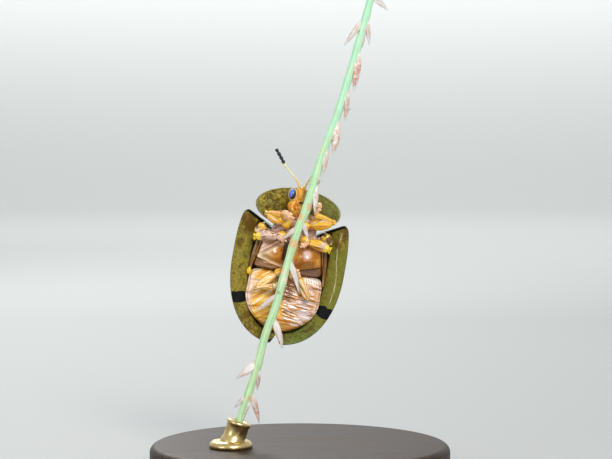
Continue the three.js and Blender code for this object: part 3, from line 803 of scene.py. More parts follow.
# A low dome with tiles, fine crosswise crinkles on the right and slanting folds on the left
def abdomenBelly(x, y):
    look = abdomenLook
    phase = ringPhase(x, y)
    part = phase - np.floor(phase)
    tile = 0.1 * (part**0.8 - 0.5) * ease(part, 1.0, 0.88)
    wander = y + 0.14 * x + 0.07 * ripple(x, y, 2.6, 4)
    onRight = ease(x, -0.1, 0.5) * ease(y, -3.95, -3.6)
    crinkle = 0.032 * np.sin(27 * wander) * (0.65 + 0.5 * ripple(x, y, 2.4, 8)) * onRight
    slant = y + look["slant"] * np.abs(x) + 0.05 * ripple(x, y, 3.0, 2)
    folds = 0.035 * np.sin(10.5 * slant) * ease(x, 0.0, -0.5) * ease(y, -3.9, -3.4)
    tipFolds = 0.006 * np.sin(40 * (y + 0.05 * x * x)) * ease(y, -3.9, -4.1)
    side = -0.1 * bell(np.abs(x) - 2.22 + 0.05 * (y + 2.2) ** 2, 0.07)
    drop = -0.55 * ease(abdomenReach(x, y), 0.93, 1.0)
    dome = 0.62 - 0.07 * x * x - 0.05 * (y - look["middle"]) ** 2
    return dome + tile + crinkle + folds + tipFolds + side + drop


def abdomenMaterial():
    look = abdomenLook
    spot, x, y, _ = startMaterial("abdomenRings")
    across = absolute(x)
    onRight = ramp(x, -0.3, 0.4)
    # Left: stripes that slant away from the middle; right: nearly level streaks, the palest of them lilac
    # painted highlights off the crinkles
    slanted = vectorOf(times(across, 0.5), plus(y, times(across, look["slant"])))
    leftStreak = noise(stretched(slanted, (1.0, 2.2, 1.0)), 1.5, 5, 0.6, 0.25)
    level = vectorOf(times(x, 0.8), plus(y, times(x, 0.14)))
    rightStreak = noise(stretched(level, (1.0, 5.0, 1.0)), 1.5, 5, 0.65, 0.5)
    leftColour = blend(ramp(leftStreak, 0.4, 0.56), look["amber"], look["yellow"])
    rightColour = blend(ramp(rightStreak, 0.38, 0.5), look["brown"], look["amber"])
    lower = times(ramp(y, -1.9, -2.6), ramp(y, -3.95, -3.6))
    # Where the right streaks are palest they take lilac painted highlights
    streakHighlight = plus(rightStreak, ramp(x, 0.2, 1.8, -0.07, 0.03))
    streakHighlight = plus(streakHighlight, times(lower, 0.045), ramp(x, 1.7, 2.3, 0.0, -0.05))
    leftColour = layered(leftColour, [
        (ramp(leftStreak, 0.53, 0.6, 0.0, 0.95), look["cream"]),
        (ramp(leftStreak, 0.4, 0.34, 0.0, 0.7), look["fold"]),
    ])
    rightColour = layered(rightColour, [
        (ramp(streakHighlight, 0.48, 0.56, 0.0, 0.95), look["lilacHighlight"]),
        (ramp(rightStreak, 0.4, 0.33, 0.0, 0.9), look["dark"]),
    ])
    colour = blend(onRight, leftColour, rightColour)
    edge = plus(across, times(maths("POWER", plus(y, 2.0), 2.0), 0.06))
    edge = times(ramp(edge, 1.95, 2.35), ramp(x, 1.0, -1.0, 0.25, 0.85))
    middle = times(ramp(across, 1.1, 0.4), ramp(y, -2.7, -2.3))
    # Joints between the rings, strongest at the sides
    share = (look["waist"] - look["end"]) / look["rings"]
    phase = maths("DIVIDE", minus(look["waist"], y), share)
    part = maths("FRACT", phase)
    joint = times(ramp(part, 0.88, 0.98), ramp(x, 0.4, 2.2, 0.06, 0.5))
    tip = ramp(plus(y, times(leftStreak, 0.5)), -3.7, -3.9)
    ripples = noise(stretched(spot, (0.6, 9.0, 1.0)), 1.6, 3, 0.6)
    # The pale crenulate edge of the first ring
    frill = oval((1.75, -0.86), (0.85, 0.2), 0.15, wobbleOf(5.0, 0.12))
    teeth = ramp(maths("SINE", times(plus(x, times(y, 0.3)), 36.0)), -0.5, 0.3, 0.25, 1.0)
    spots = times(oval((0.5, -3.2), (0.42, 0.09), 0.35, wobbleOf(5.0, 0.2)), 0.9)
    height = plus(times(rightStreak, onRight), noise(spot, 9.0, 4, 0.6))
    rough = plus(0.2, times(tip, 0.25))
    colour = layered(colour, [
        (edge, look["edge"]),
        (times(middle, 0.92), look["centre"]),
        (joint, look["dark"]),
        (times(tip, 0.92), look["tip"]),
        (times(tip, ramp(ripples, 0.5, 0.6, 0.0, 0.3)), look["yellow"]),
        (times(frill, teeth), look["frill"]),
        (times(oval((-2.55, -0.88), (0.2, 0.25), 0.3), 0.9), look["yellow"]),
        (spots, look["dark"]),
    ])
    return finishMaterial(colour, rough, height, 0.035, **glossSockets)


abdomenMiddle = (0, abdomenLook["middle"])
abdomenShape = lens(abdomenMiddle, abdomenReach, trunkRoof, abdomenBelly, rings=112, sides=400, edge=0.12)
addPiece("abdomenRings", [abdomenShape], abdomenMaterial(), ["abdomen"])
print("stage: abdomen")

# Front chest under the neck shield, with its rough middle ridge
frontChestLook = {"base": (0.60, 0.30, 0.10), "second": (0.78, 0.54, 0.44), "dark": (0.10, 0.03, 0.010)}
frontChestEggs = [
    ((0, 3.05, -0.2), (1.5, 0.62, 0.72)),
    ((0, 2.95, 0.28), (0.26, 0.6, 0.36)),
    ((-0.95, 3.2, -0.2), (0.85, 0.5, 0.55)),
    ((0.95, 3.2, -0.2), (0.85, 0.5, 0.55)),
]


def frontChestMaterial():
    look = frontChestLook
    spot, *_ = startMaterial("frontChestPlates")
    cloud = noise(spot, 2.2, 4, 0.6, 0.5)
    colour = blend(ramp(cloud, 0.44, 0.6), look["base"], look["second"])
    grain = noise(spot, 8.0, 4, 0.65)
    colour = blend(ramp(grain, 0.52, 0.64, 0.0, 0.85), colour, look["dark"])
    return finishMaterial(colour, 0.3, grain, 0.03, **glossSockets)


# Fine noise all over
def frontChestBumps(p):
    return 0.03 * ripple(p[..., 0], p[..., 1], 9.0, 4)


frontChestShape = eggSkin((0, 3.05, -0.1), frontChestEggs, 70, 80, bumps=frontChestBumps)
addPiece("frontChestPlates", [frontChestShape], frontChestMaterial(), ["prosternum"])

# Head: skull, face plate, broad grainy throat and mouthparts
headLook = {
    "orange": (0.74, 0.290, 0.022), "light": (0.86, 0.48, 0.05), "dark": (0.035, 0.012, 0.006),
    "red": (0.46, 0.09, 0.006), "rim": (0.70, 0.47, 0.15), "grain": (0.85, 0.5, 0.02),
    "eyeSide": 0.56, "eyeY": 4.93, "eyeZ": 0.36, "eyeRadii": (0.262, 0.40, 0.31),
}
headEggs = [
    ((0, 4.78, 0.2), (0.62, 0.64, 0.32)),
    ((0, 4.12, 0.16), (0.78, 0.56, 0.44)),
    ((0, 3.72, 0.14), (0.5, 0.36, 0.4)),
    ((0, 4.98, 0.4), (0.24, 0.44, 0.27)),
    ((0, 5.32, 0.3), (0.29, 0.19, 0.25)),
]


# Grains on the throat, two long furrows beside its middle, and the seams of the face plate
def headBumps(p):
    x, y, z = p[..., 0], p[..., 1], p[..., 2]
    throat = ease(y, 4.55, 4.3) * ease(z, 0.1, 0.35)
    grains = 0.024 * ripple(x, y, 17.0, 9) + 0.02 * ripple(x, y, 9.0, 3)
    furrows = -0.05 * bell(np.abs(x) - 0.26 - 0.1 * (y - 3.8), 0.045)
    seams = -0.035 * bell(np.abs(x) - 0.24, 0.035) * ease(y, 4.4, 4.6)
    cheek = -0.05 * bell(y - 4.5, 0.06) * ease(z, 0.1, 0.3)
    return (grains + furrows) * throat + seams + cheek


def headMaterial():
    look = headLook
    spot, x, y, _ = startMaterial("headShell")
    cloud = noise(spot, 3.0, 4, 0.6)
    colour = blend(ramp(cloud, 0.42, 0.6), look["orange"], look["light"])
    grain = noise(stretched(spot, (1.3, 1.0, 1.0)), 6.5, 5, 0.7, 0.4)
    low = ramp(y, 4.65, 4.4)
    rims = ovals([((s * look["eyeSide"], look["eyeY"] - 0.06), (0.4, 0.52), 0.08) for s in (-1, 1)])
    mouth = oval((0.12, 4.44), (0.15, 0.1), 0.3, wobbleOf(6.0, 0.1))
    colour = layered(colour, [
        (times(low, ramp(grain, 0.52, 0.6, 0.0, 0.8)), look["red"]),
        (times(low, ramp(grain, 0.42, 0.36, 0.0, 0.8)), look["grain"]),
        (times(rims, 0.7), look["rim"]),
        (mouth, look["dark"]),
    ])
    return finishMaterial(colour, 0.3, grain, 0.05, **{**glossSockets, "Coat Weight": 0.3})


# The raised rim of an eye: a thin ring, its path an ellipse that overlaps itself
def eyeRim(side):
    look = headLook
    turn = np.linspace(0.4, 0.4 + 2.04 * np.pi, 14)
    radii = look["eyeRadii"]
    ringX = side * look["eyeSide"] + (radii[0] + 0.005) * np.cos(turn)
    ringY = look["eyeY"] + (radii[1] + 0.005) * np.sin(turn)
    ringZ = look["eyeZ"] + 0.06 - 0.1 * side * np.cos(turn)
    return loft(np.stack([ringX, ringY, ringZ], -1), [0.038, 0.038], 90, 12)


# The back of the head stays under the roof: z at least the roof's underside less 0.05 mm
def underShield(surface):
    verts = surface["verts"]
    roof = shieldBelly(verts[:, 0], verts[:, 1])
    covered = shieldReach(verts[:, 0], verts[:, 1]) < 0.985
    verts[:, 2] = np.where(covered, np.maximum(verts[:, 2], roof - 0.05), verts[:, 2])
    return surface


headRods = [  # jaw, outer and inner palp, feeler socket: route on the right side, radii, rows, sides
    ([(0.18, 4.5, 0.5), (0.14, 4.4, 0.62), (0.03, 4.33, 0.66)], [0.09, 0.1, 0.05], 20, 14),
    ([(0.3, 4.28, 0.52), (0.44, 4.1, 0.66), (0.4, 3.9, 0.7), (0.3, 3.78, 0.7)],
     [0.06, 0.085, 0.07, 0.1, 0.05], 30, 16),
    ([(0.12, 4.2, 0.56), (0.16, 4.05, 0.66), (0.12, 3.9, 0.68)], [0.05, 0.07, 0.04], 20, 14),
    ([(0.14, 5.3, 0.4), (0.16, 5.44, 0.46)], [0.13, 0.12], 16, 20),
]
headSkin = eggSkin((0, 4.5, 0.12), headEggs, rows=130, sides=140, bumps=headBumps)
headSurfaces = [underShield(headSkin)]
for side in (-1, 1):
    headSurfaces.append(eyeRim(side))
    headSurfaces += [loft(sided(side, route), *rest) for route, *rest in headRods]
lip = [(-0.2, 4.53, 0.54), (0, 4.51, 0.61), (0.2, 4.53, 0.54)]
headSurfaces.append(loft(lip, [0.06, 0.08, 0.06], 20, 14))
addPiece("headShell", headSurfaces, headMaterial(), ["head"])

# Eyes
eyeLook = {"black": (0.004, 0.004, 0.014), "blue": (0.085, 0.16, 0.72), "facets": 26.0}


def eyeMaterial():
    look = eyeLook
    spot, x, y, _ = startMaterial("eyeLens")
    # Blue on the upper left of each eye, as seen from the belly, and black below
    aside = minus(x, times(maths("SIGN", x), headLook["eyeSide"]))
    slope = plus(times(aside, -1.1), times(plus(y, -headLook["eyeY"]), 0.42))
    slope = plus(slope, times(noise(spot, 5.0, 2, 0.5), 0.12))
    colour = blend(ramp(slope, 0.0, 0.14), look["black"], look["blue"])
    facets = network(spot, look["facets"], 0.12)
    sockets = {"Coat Weight": 0.9, "Coat Roughness": 0.03}
    return finishMaterial(colour, 0.14, facets, 0.004, **sockets)


eyeFinish = eyeMaterial()
for side, word in ((-1, "left"), (1, "right")):
    ball = egg((side * headLook["eyeSide"], headLook["eyeY"], headLook["eyeZ"]), headLook["eyeRadii"], 48, 56)
    addPiece("eyeLens_" + word, [ball], eyeFinish, ["eye_" + word])
print("stage: head")

# Feelers: eleven beads along a bent route, the last four stouter and black
feelerLook = {
    "left": [(-0.14, 5.4, 0.45), (-0.3, 5.75, 0.5), (-0.55, 6.05, 0.45), (-1.0, 6.42, 0.4),
             (-1.38, 6.78, 0.35), (-1.8, 7.3, 0.3), (-2.25, 7.85, 0.25)],
    "right": [(0.14, 5.4, 0.45), (0.26, 5.75, 0.5), (0.42, 6.15, 0.45), (0.62, 6.6, 0.4),
              (0.78, 7.0, 0.35), (0.9, 7.6, 0.3), (0.98, 8.3, 0.25)],
    "radii": [0.115, 0.08, 0.075, 0.07, 0.07, 0.075, 0.1, 0.125, 0.13, 0.13, 0.12],
    "root": (0.74, 0.48, 0.14), "pale": (0.74, 0.68, 0.38), "joint": (0.46, 0.30, 0.14),
    "black": (0.005, 0.007, 0.010),
}


# Beads along the route, each marked with how far along the feeler it lies
def feelerBeads(route):
    count = len(feelerLook["radii"])
    beads = []
    for i, radius in enumerate(feelerLook["radii"]):
        t = np.clip(np.linspace(i - 0.06, i + 1.04, 5) / count, 0, 1)
        points, _ = routeAt(route, t)
        tip = 0.45 if i == count - 1 else 0.9
        bead = loft(points, [radius * 0.6, radius * 0.88, radius, radius, radius * tip * 0.85], 24, 20)
        beads.append(marked(bead, (i + bead["lay"][:, 0]) / count))
    return beads


def feelerMaterial():
    look = feelerLook
    spot, *_ = startMaterial("feelerBeads")
    reach = split(spotOf("lay"))[2]
    grain = noise(spot, 12.0, 3, 0.6)
    colour = blend(ramp(reach, 0.08, 0.4), look["root"], look["pale"])
    colour = layered(colour, [
        (ramp(grain, 0.5, 0.7, 0.0, 0.4), look["joint"]),
        (ramp(reach, 0.62, 0.66), look["black"]),
    ])
    return finishMaterial(colour, 0.36, grain, 0.012)


feelerFinish = feelerMaterial()
for word in ("left", "right"):
    beads = feelerBeads(feelerLook[word])
    addPiece("feelerBeads_" + word, beads, feelerFinish, ["antenna_" + word])
print("stage: feelers")

# Legs: hip, ring, thigh, knee, shin, three lobed foot joints, a claw joint and two claws
legLook = {
    "leg_front_left": {"hip": (-0.72, 2.82, 0.62), "knee": (-2.15, 3.38, 0.95), "ankle": (-1.12, 3.46, 1.25),
                       "foot": [(-0.86, 3.66, 1.45), (-0.1, 3.3, 1.78)], "thick": 0.37},
    "leg_front_right": {"hip": (0.78, 2.92, 0.62), "knee": (2.6, 3.52, 0.9), "ankle": (1.18, 3.8, 1.3),
                        "foot": [(1.42, 4.4, 1.55), (1.06, 4.86, 1.85)], "thick": 0.41},
    "leg_middle_left": {"hip": (-0.9, 1.95, 0.6), "knee": (-2.68, 1.6, 0.8), "ankle": (-1.15, 1.9, 1.25),
                        "foot": [(-0.72, 1.82, 1.5), (-0.38, 1.7, 1.75)], "thick": 0.3, "kneeSize": 1.45},
    "leg_middle_right": {"hip": (0.95, 1.9, 0.6), "knee": (2.68, 1.55, 0.8), "ankle": (1.15, 1.88, 1.25),
                         "foot": [(0.8, 1.66, 1.5), (0.55, 1.42, 1.75)], "thick": 0.31, "kneeSize": 1.45},
    "leg_hind_left": {"hip": (-0.6, -0.62, 0.66), "knee": (-1.95, -1.88, 0.95), "ankle": (-0.78, -1.6, 1.3),
                      "foot": [(-0.62, -1.48, 1.55), (-0.56, -1.25, 1.8)], "thick": 0.27},
    "leg_hind_right": {"hip": (0.58, -0.62, 0.66), "knee": (1.78, -2.05, 0.95), "ankle": (0.95, -0.68, 1.35),
                       "foot": [(0.66, -0.3, 1.6), (0.44, 0.08, 1.82)], "thick": 0.27},
}
legPaint = {
    "gold": (0.84, 0.46, 0.030), "yellow": (0.90, 0.64, 0.07), "orange": (0.62, 0.22, 0.014),
    "brown": (0.13, 0.038, 0.006), "paintedHighlight": (0.92, 0.74, 0.64), "knee": (0.44, 0.085, 0.012),
    "foot": (0.80, 0.48, 0.32), "claw": (0.10, 0.03, 0.010), "lilacHighlight": (0.62, 0.44, 0.42),
    "cream": (0.92, 0.74, 0.40), "middleKnee": (0.92, 0.66, 0.05),
    "thighGlintOval": ((-1.6, 1.8), (0.95, 0.42), 0.2), "highlightOval": ((2.2, 1.76), (0.24, 0.3), 0.4),
    "kneeOvals": [((-2.72, 1.55), (0.5, 0.56), 0.2), ((2.72, 1.55), (0.5, 0.56), 0.2)],
}


# a + (b - a) * t
def between(a, b, t):
    return np.asarray(a, float) + (np.asarray(b, float) - np.asarray(a, float)) * t


# Thigh section: sharper edges at both sides and a long groove on the face turned outwards
def thighForm(t, angle):
    edges = 0.12 * np.cos(angle) ** 8
    groove = -0.16 * bell(angle - 0.5 * np.pi, 0.34) * ease(t, 0.2, 0.45) * ease(t, 0.98, 0.85)
    return 1 + edges + groove


# Shin section: three keels and fine grooves between them
def shinForm(t, angle):
    return 1 + 0.1 * np.cos(3 * angle + 0.6) + 0.04 * np.cos(9 * angle) + 0 * t


# Foot joint: widens into two lobes at its end
def lobeForm(t, angle):
    return 1 + 0.35 * ease(t, 0.4, 1.0) * (np.abs(np.cos(angle)) - 0.55)


# A leg's lofts from its hip to its claws, each marked with a tenth of its joint's number
def legSurfaces(leg):
    hip, knee, ankle = (np.array(leg[k]) for k in ("hip", "knee", "ankle"))
    pad, tip = (np.array(p) for p in leg["foot"])
    thick = leg["thick"]
    inward = np.array([-np.sign(hip[0]) * 0.3, 0.0, -0.2])
    parts = [(0, loft([hip + inward * 1.3, hip, between(hip, knee, 0.14)], [0.3, 0.37, 0.22], 30, 32))]
    parts.append((1, loft([between(hip, knee, 0.1), between(hip, knee, 0.2)], [0.22, 0.23, 0.2], 20, 28)))
    bow = between(hip, knee, 0.5) + np.array([0, 0.05, 0.06])
    thighRoute = [between(hip, knee, 0.1), bow, between(hip, knee, 0.97)]
    thighRadii = [0.15, thick * 0.95, thick * 1.08, thick * 0.95, 0.19]
    parts.append((2, loft(thighRoute, thighRadii, 60, 44, 0.78, thighForm)))
    kneeRoute = [between(hip, knee, 0.9), knee + np.array([0, 0, 0.03]), between(knee, ankle, 0.1)]
    kneeRadii = np.array([0.16, 0.2, 0.15]) * leg.get("kneeSize", 1.0)
    parts.append((3, loft(kneeRoute, kneeRadii, 30, 28)))
    bend = between(knee, ankle, 0.5) + np.array([0, 0.04, 0.05])
    shinRoute = [between(knee, ankle, 0.02), bend, ankle]
    shinRadii = [0.11, 0.135, 0.16, 0.2, 0.25]
    parts.append((4, loft(shinRoute, shinRadii, 60, 36, 0.72, shinForm, (1.0, 0.45))))
    footRoute = [ankle, between(ankle, pad, 0.7), pad, tip]
    for start, end, width in ((0.0, 0.28, 0.16), (0.2, 0.5, 0.2), (0.42, 0.76, 0.23)):
        points, _ = routeAt(footRoute, np.linspace(start, end, 4))
        radii = [width * 0.45, width * 0.8, width, width * 0.85]
        parts.append((5, loft(points, radii, 28, 28, 0.62, lobeForm, (1.0, 0.5))))
    points, _ = routeAt(footRoute, np.linspace(0.66, 0.97, 4))
    parts.append((6, loft(points, [0.05, 0.065, 0.08, 0.07], 24, 16)))
    heading = (tip - pad) / np.linalg.norm(tip - pad)
    aside = np.cross(heading, [0, 0, 1.0])
    for way in (-1, 1):
        clawRoute = [tip - heading * 0.05, tip + heading * 0.06 + aside * way * 0.08,
                     tip + heading * 0.1 + aside * way * 0.1 + np.array([0, 0, -0.1])]
        parts.append((7, loft(clawRoute, [0.045, 0.035, 0.012], 18, 10)))
    return [marked(surface, 0.1 * code) for code, surface in parts]


# Paint by joint: the code in lay is a tenth of the joint's number
def legMaterial():
    look = legPaint
    spot, _, y, _ = startMaterial("legShell")
    along, around, part = split(spotOf("lay"))
    lengthwise = vectorOf(times(along, 1.6), times(around, 7.0), times(part, 30.0))
    streak = noise(vectorMaths("ADD", lengthwise, stretched(spot, (0.3, 0.3, 0.3)))[0], 1.0, 4, 0.6, 0.3)
    colour = blend(ramp(streak, 0.42, 0.52), look["orange"], look["gold"])
    dark = most(stripe(around, 0.0, 0.07, 0.8), stripe(around, 1.0, 0.09, 0.8))
    # A pale painted highlight along one face of the thighs and shins
    paintedHighlight = times(stripe(around, 0.36, 0.07), ramp(noise(spot, 2.0, 3, 0.6), 0.42, 0.56))
    shinOrThigh = times(ramp(part, 0.15, 0.2), ramp(part, 0.45, 0.4))
    knee = stripe(part, 0.3, 0.05, 0.5)
    kneeFront = times(knee, ramp(noise(spot, 3.0, 2, 0.5), 0.45, 0.55))
    # Painted highlights: pale and lilac over the left middle thigh with brown streaks between them, and lilac
    # on the right middle thigh near its knee
    glintThigh = oval(*look["thighGlintOval"])
    lilacHighlight = times(most(glintThigh, oval(*look["highlightOval"])), ramp(streak, 0.36, 0.5, 0.3, 0.85))
    fine = noise(stretched(spot, (1.0, 4.0, 1.0)), 2.2, 4, 0.65, 0.4)
    foot = ramp(part, 0.45, 0.5)
    grain = noise(spot, 8.0, 4, 0.65)
    rear = ramp(y, -0.5, -0.9, 0.0, 0.9)
    height = plus(grain, times(streak, 0.8))
    colour = layered(colour, [
        (ramp(streak, 0.52, 0.62, 0.0, 0.9), look["yellow"]),
        (times(dark, ramp(streak, 0.35, 0.6, 1.0, 0.3)), look["brown"]),
        (times(paintedHighlight, shinOrThigh, 0.85), look["paintedHighlight"]),
        (kneeFront, look["knee"]),
        (stripe(part, 0.1, 0.05, 0.55), look["knee"]),
        # Lilac and pale painted highlights on the middle legs, with brown streaks on the left one
        (lilacHighlight, look["lilacHighlight"]),
        (times(glintThigh, ramp(fine, 0.56, 0.62, 0.0, 0.9)), look["paintedHighlight"]),
        (times(glintThigh, ramp(fine, 0.44, 0.38, 0.0, 0.9)), look["brown"]),
        (times(foot, 0.8), look["foot"]),
        (ramp(part, 0.65, 0.7), look["claw"]),
        (times(ovals(look["kneeOvals"]), 0.9), look["middleKnee"]),
        (ramp(grain, 0.58, 0.7, 0.0, 0.75), look["brown"]),
        (times(rear, ramp(streak, 0.44, 0.52)), look["cream"]),
    ])
    return finishMaterial(colour, 0.22, height, 0.025, **glossSockets)


legFinish = legMaterial()
for name, leg in legLook.items():
    addPiece(name.replace("leg_", "legShell_"), legSurfaces(leg), legFinish, [name])
print("stage: legs")

# Grass stem: ribbed, a little thicker where the husks grow, and each husk a sheaf of thin blades
stemLook = {
    "radius": 0.28, "lift": 1.95, "ribs": 9, "ribDepth": 0.05,
    "joints": (0.07, 0.14, 0.33, 0.41, 0.5, 0.58, 0.67, 0.735, 0.8, 0.88, 0.95),
    "route": [(-1.48, -11.2), (-1.24, -9.46), (-0.9, -7.1), (-0.75, -5), (-0.4, -3), (-0.2, -1),
              (0, 1), (0.28, 3), (0.55, 4.3), (0.84, 7.15), (1.19, 9.3), (1.55, 11.3), (2.03, 15.47),
              (2.25, 17.6), (2.38, 19.5)],
    "mint": (0.38, 0.63, 0.33), "pale": (0.55, 0.74, 0.47), "straw": (0.62, 0.66, 0.40),
    "nodes": [((0.24, 3.55), 0.24, (0.74, 0.42, 0.20)), ((0.1, 1.66), 0.3, (0.70, 0.40, 0.18)),
              ((-0.3, -0.38), 0.2, (0.80, 0.56, 0.50)), ((-0.12, -0.9), 0.17, (0.80, 0.62, 0.52)),
              ((-0.34, -1.82), 0.14, (0.40, 0.24, 0.10)), ((-0.98, -9.4), 0.2, (0.72, 0.50, 0.20)),
              ((0.74, 4.35), 0.26, (0.62, 0.38, 0.22))],
    "cool": (0.40, 0.76, 0.56),
}
huskLook = {
    "husks": [  # root, tip, half width, how red its middle is
        ((2.22, 17.75), (1.12, 15.62), 0.17, 0.1), ((2.3, 17.8), (2.82, 15.95), 0.15, 0.1),
        ((2.2, 17.5), (2.42, 15.75), 0.12, 0.15), ((2.38, 19.35), (3.66, 18.5), 0.16, 0.1),
        ((2.08, 15.6), (2.34, 12.72), 0.27, 0.9), ((1.82, 13.1), (2.12, 10.5), 0.17, 0.5),
        ((1.48, 10.7), (1.75, 8.15), 0.27, 0.7), ((1.1, 8.9), (1.28, 6.55), 0.19, 0.3),
        ((0.92, 6.6), (1.08, 5.9), 0.12, 0.6), ((0.78, 6.1), (1.14, 4.05), 0.21, 0.2),
        ((0.15, 2.85), (-0.68, 1.85), 0.14, 0.0), ((0.4, 3.3), (1.02, 2.1), 0.14, 0.1),
        ((0.0, 0.6), (1.02, -1.55), 0.16, 0.0), ((-0.35, -1.9), (-1.62, -3.3), 0.13, 0.0),
        ((-0.38, -3.6), (0.62, -5.6), 0.2, 0.05), ((-0.85, -6.7), (-2.18, -8.2), 0.24, 0.05),
        ((-0.8, -7.1), (-0.62, -8.78), 0.14, 0.6), ((-1.15, -9.0), (-2.0, -10.25), 0.14, 0.3),
        ((-1.0, -8.9), (-0.08, -10.97), 0.17, 0.7), ((-1.05, -9.3), (-1.25, -10.8), 0.15, 0.4),
    ],
    "bristles": [[(1.92, 11.36), (2.1, 11.3), (2.32, 11.14)], [(2.06, 11.3), (2.15, 11.48), (2.1, 11.7)],
                 [(2.1, 11.3), (2.26, 11.36), (2.36, 11.48)]],
    "blades": [(0.0, 1.0, 0.02, 0.8), (-0.55, 0.84, 0.08, 0.62), (0.5, 0.76, 0.0, 0.6)],
    "white": (0.84, 0.80, 0.77), "pink": (0.76, 0.60, 0.52), "red": (0.58, 0.26, 0.18),
    "root": (0.46, 0.76, 0.44), "tip": (0.78, 0.86, 0.88),
}


# Loft along the route: cosine ribs round it, and a bell-shaped swelling at each joint
def stemSurface():
    look = stemLook
    route = [(x, y, look["lift"]) for x, y in look["route"]]

    def ribbed(t, angle):
        swell = sum(0.14 * bell(t - joint, 0.012) for joint in look["joints"])
        return 1 + look["ribDepth"] * np.cos(look["ribs"] * angle) + swell

    radii = [look["radius"] * share for share in (0.95, 0.92, 1.0, 0.9, 1.0, 0.95, 0.9, 0.9, 0.85)]
    return loft(route, radii, 460, 72, 1.0, ribbed, (0.3, 0.6))


# Blade section: keeled and ribbed, flat at its rims
def bladeForm(t, angle):
    return 1 + 0.12 * np.cos(6 * angle) * ease(t, 0.0, 0.3) * ease(t, 1.0, 0.7)


# One husk: two outer blades that part towards their tips and a longer inner one, radii falling to a point.
# Each blade is given by how far aside it goes, its length, its lift and its width.
def huskSurfaces(root, tip, width, redness):
    lift = stemLook["lift"]
    root, tip = np.array([*root, lift]), np.array([*tip, lift + 0.14])
    heading = (tip - root) / np.linalg.norm(tip - root)
    aside = np.cross(heading, [0, 0, 1.0])
    blades = []
    for offset, share, raised, wide in huskLook["blades"]:
        end = root + (tip - root) * share + aside * offset * width
        middle = between(root, end, 0.5) + aside * offset * width * 0.7 + np.array([0, 0, 0.06 + raised])
        radii = np.array([0.9, 1.0, 1.0, 0.92, 0.78, 0.58, 0.28]) * width * wide
        surface = loft([root, between(root, middle, 0.5), middle, end], radii, 34, 24, 0.45, bladeForm)
        blades.append(marked(surface, redness))
    return blades


# A thin loft 0.1 mm ahead of the stem's middle
def bristleSurface(route):
    points = [(x, y, stemLook["lift"] + 0.1) for x, y in route]
    return marked(loft(points, [0.045, 0.035, 0.03], 16, 8), 0.0)


def stemMaterial():
    look = stemLook
    spot, _, y, _ = startMaterial("stemSkin")
    lay = spotOf("lay")
    long = noise(stretched(lay, (14.0, 12.0, 0.0)), 1.0, 3, 0.5)
    colour = blend(ramp(long, 0.42, 0.58), look["mint"], look["pale"])
    fleck = noise(spot, 1.4, 4, 0.6)
    wobble = wobbleOf(3.0, 0.3)
    colour = layered(colour, [
        (ramp(y, 3.0, 12.0, 0.0, 0.6), look["cool"]),
        (ramp(fleck, 0.5, 0.66, 0.0, 0.6), look["straw"]),
    ])
    for centre, radius, paint in look["nodes"]:
        colour = blend(times(oval(centre, (radius, radius), 0.5, wobble), 0.8), colour, paint)
    height = noise(stretched(lay, (60.0, 40.0, 0.0)), 1.0, 3, 0.6)
    sockets = {"Subsurface Weight": 0.3, "Subsurface Radius": (0.0002, 0.0004, 0.0002)}
    return finishMaterial(colour, 0.45, height, 0.012, **sockets)


def huskMaterial():
    look = huskLook
    spot, *_ = startMaterial("huskSkin")
    along, around, red = split(spotOf("lay"))
    cloud = noise(spot, 1.8, 3, 0.6)
    colour = blend(ramp(cloud, 0.42, 0.6, 0.0, 0.8), look["white"], look["pink"])
    middle = times(ramp(along, 0.3, 0.55), ramp(along, 0.95, 0.75))
    patchy = ramp(noise(spot, 3.2, 4, 0.6), 0.4, 0.56)
    ribs = maths("SINE", times(around, 38.0))
    sockets = {"Subsurface Weight": 0.3, "Subsurface Radius": (0.0004, 0.0003, 0.0003)}
    colour = layered(colour, [
        (times(middle, patchy, red), look["red"]),
        (ramp(along, 0.3, 0.05, 0.0, 0.85), look["root"]),
        (ramp(along, 0.72, 0.9, 0.0, 0.85), look["tip"]),
    ])
    return finishMaterial(colour, 0.4, ribs, 0.01, **sockets)


addPiece("grassStem", [stemSurface()], stemMaterial(), ["perch_stem"])
husks = [surface for husk in huskLook["husks"] for surface in huskSurfaces(*husk)]
husks += [bristleSurface(route) for route in huskLook["bristles"]]
addPiece("grassHusks", husks, huskMaterial())
print("stage: stem")

# Stand: a turned wooden base with a rounded edge, and a brass ferrule that leans with the stem
standLook = {
    "radius": 10.5, "thickness": 2.2, "round": 0.5, "wood": (0.020, 0.011, 0.007),
    "grain": (0.052, 0.029, 0.017),
    "rodRadius": 0.78, "collarRadius": 1.5, "collarHeight": 0.5, "brass": (0.60, 0.43, 0.18),
    "brassLight": (0.70, 0.54, 0.26),
}


# Base outline: flat underside, quarter rounds of the given radius, flat top
def baseProfile():
    look = standLook
    bend = np.linspace(-90, 0, 9) * np.pi / 180
    inner = look["radius"] - look["round"]
    low = np.stack([inner + look["round"] * np.cos(bend), look["round"] + look["round"] * np.sin(bend)], -1)
    high = np.stack([low[::-1, 0], look["thickness"] - low[::-1, 1]], -1)
    disc = np.array([[0, 0], [inner * 0.6, 0]])
    top = np.array([[inner * 0.6, look["thickness"]], [0, look["thickness"]]])
    return np.vstack([disc, low, high, top])


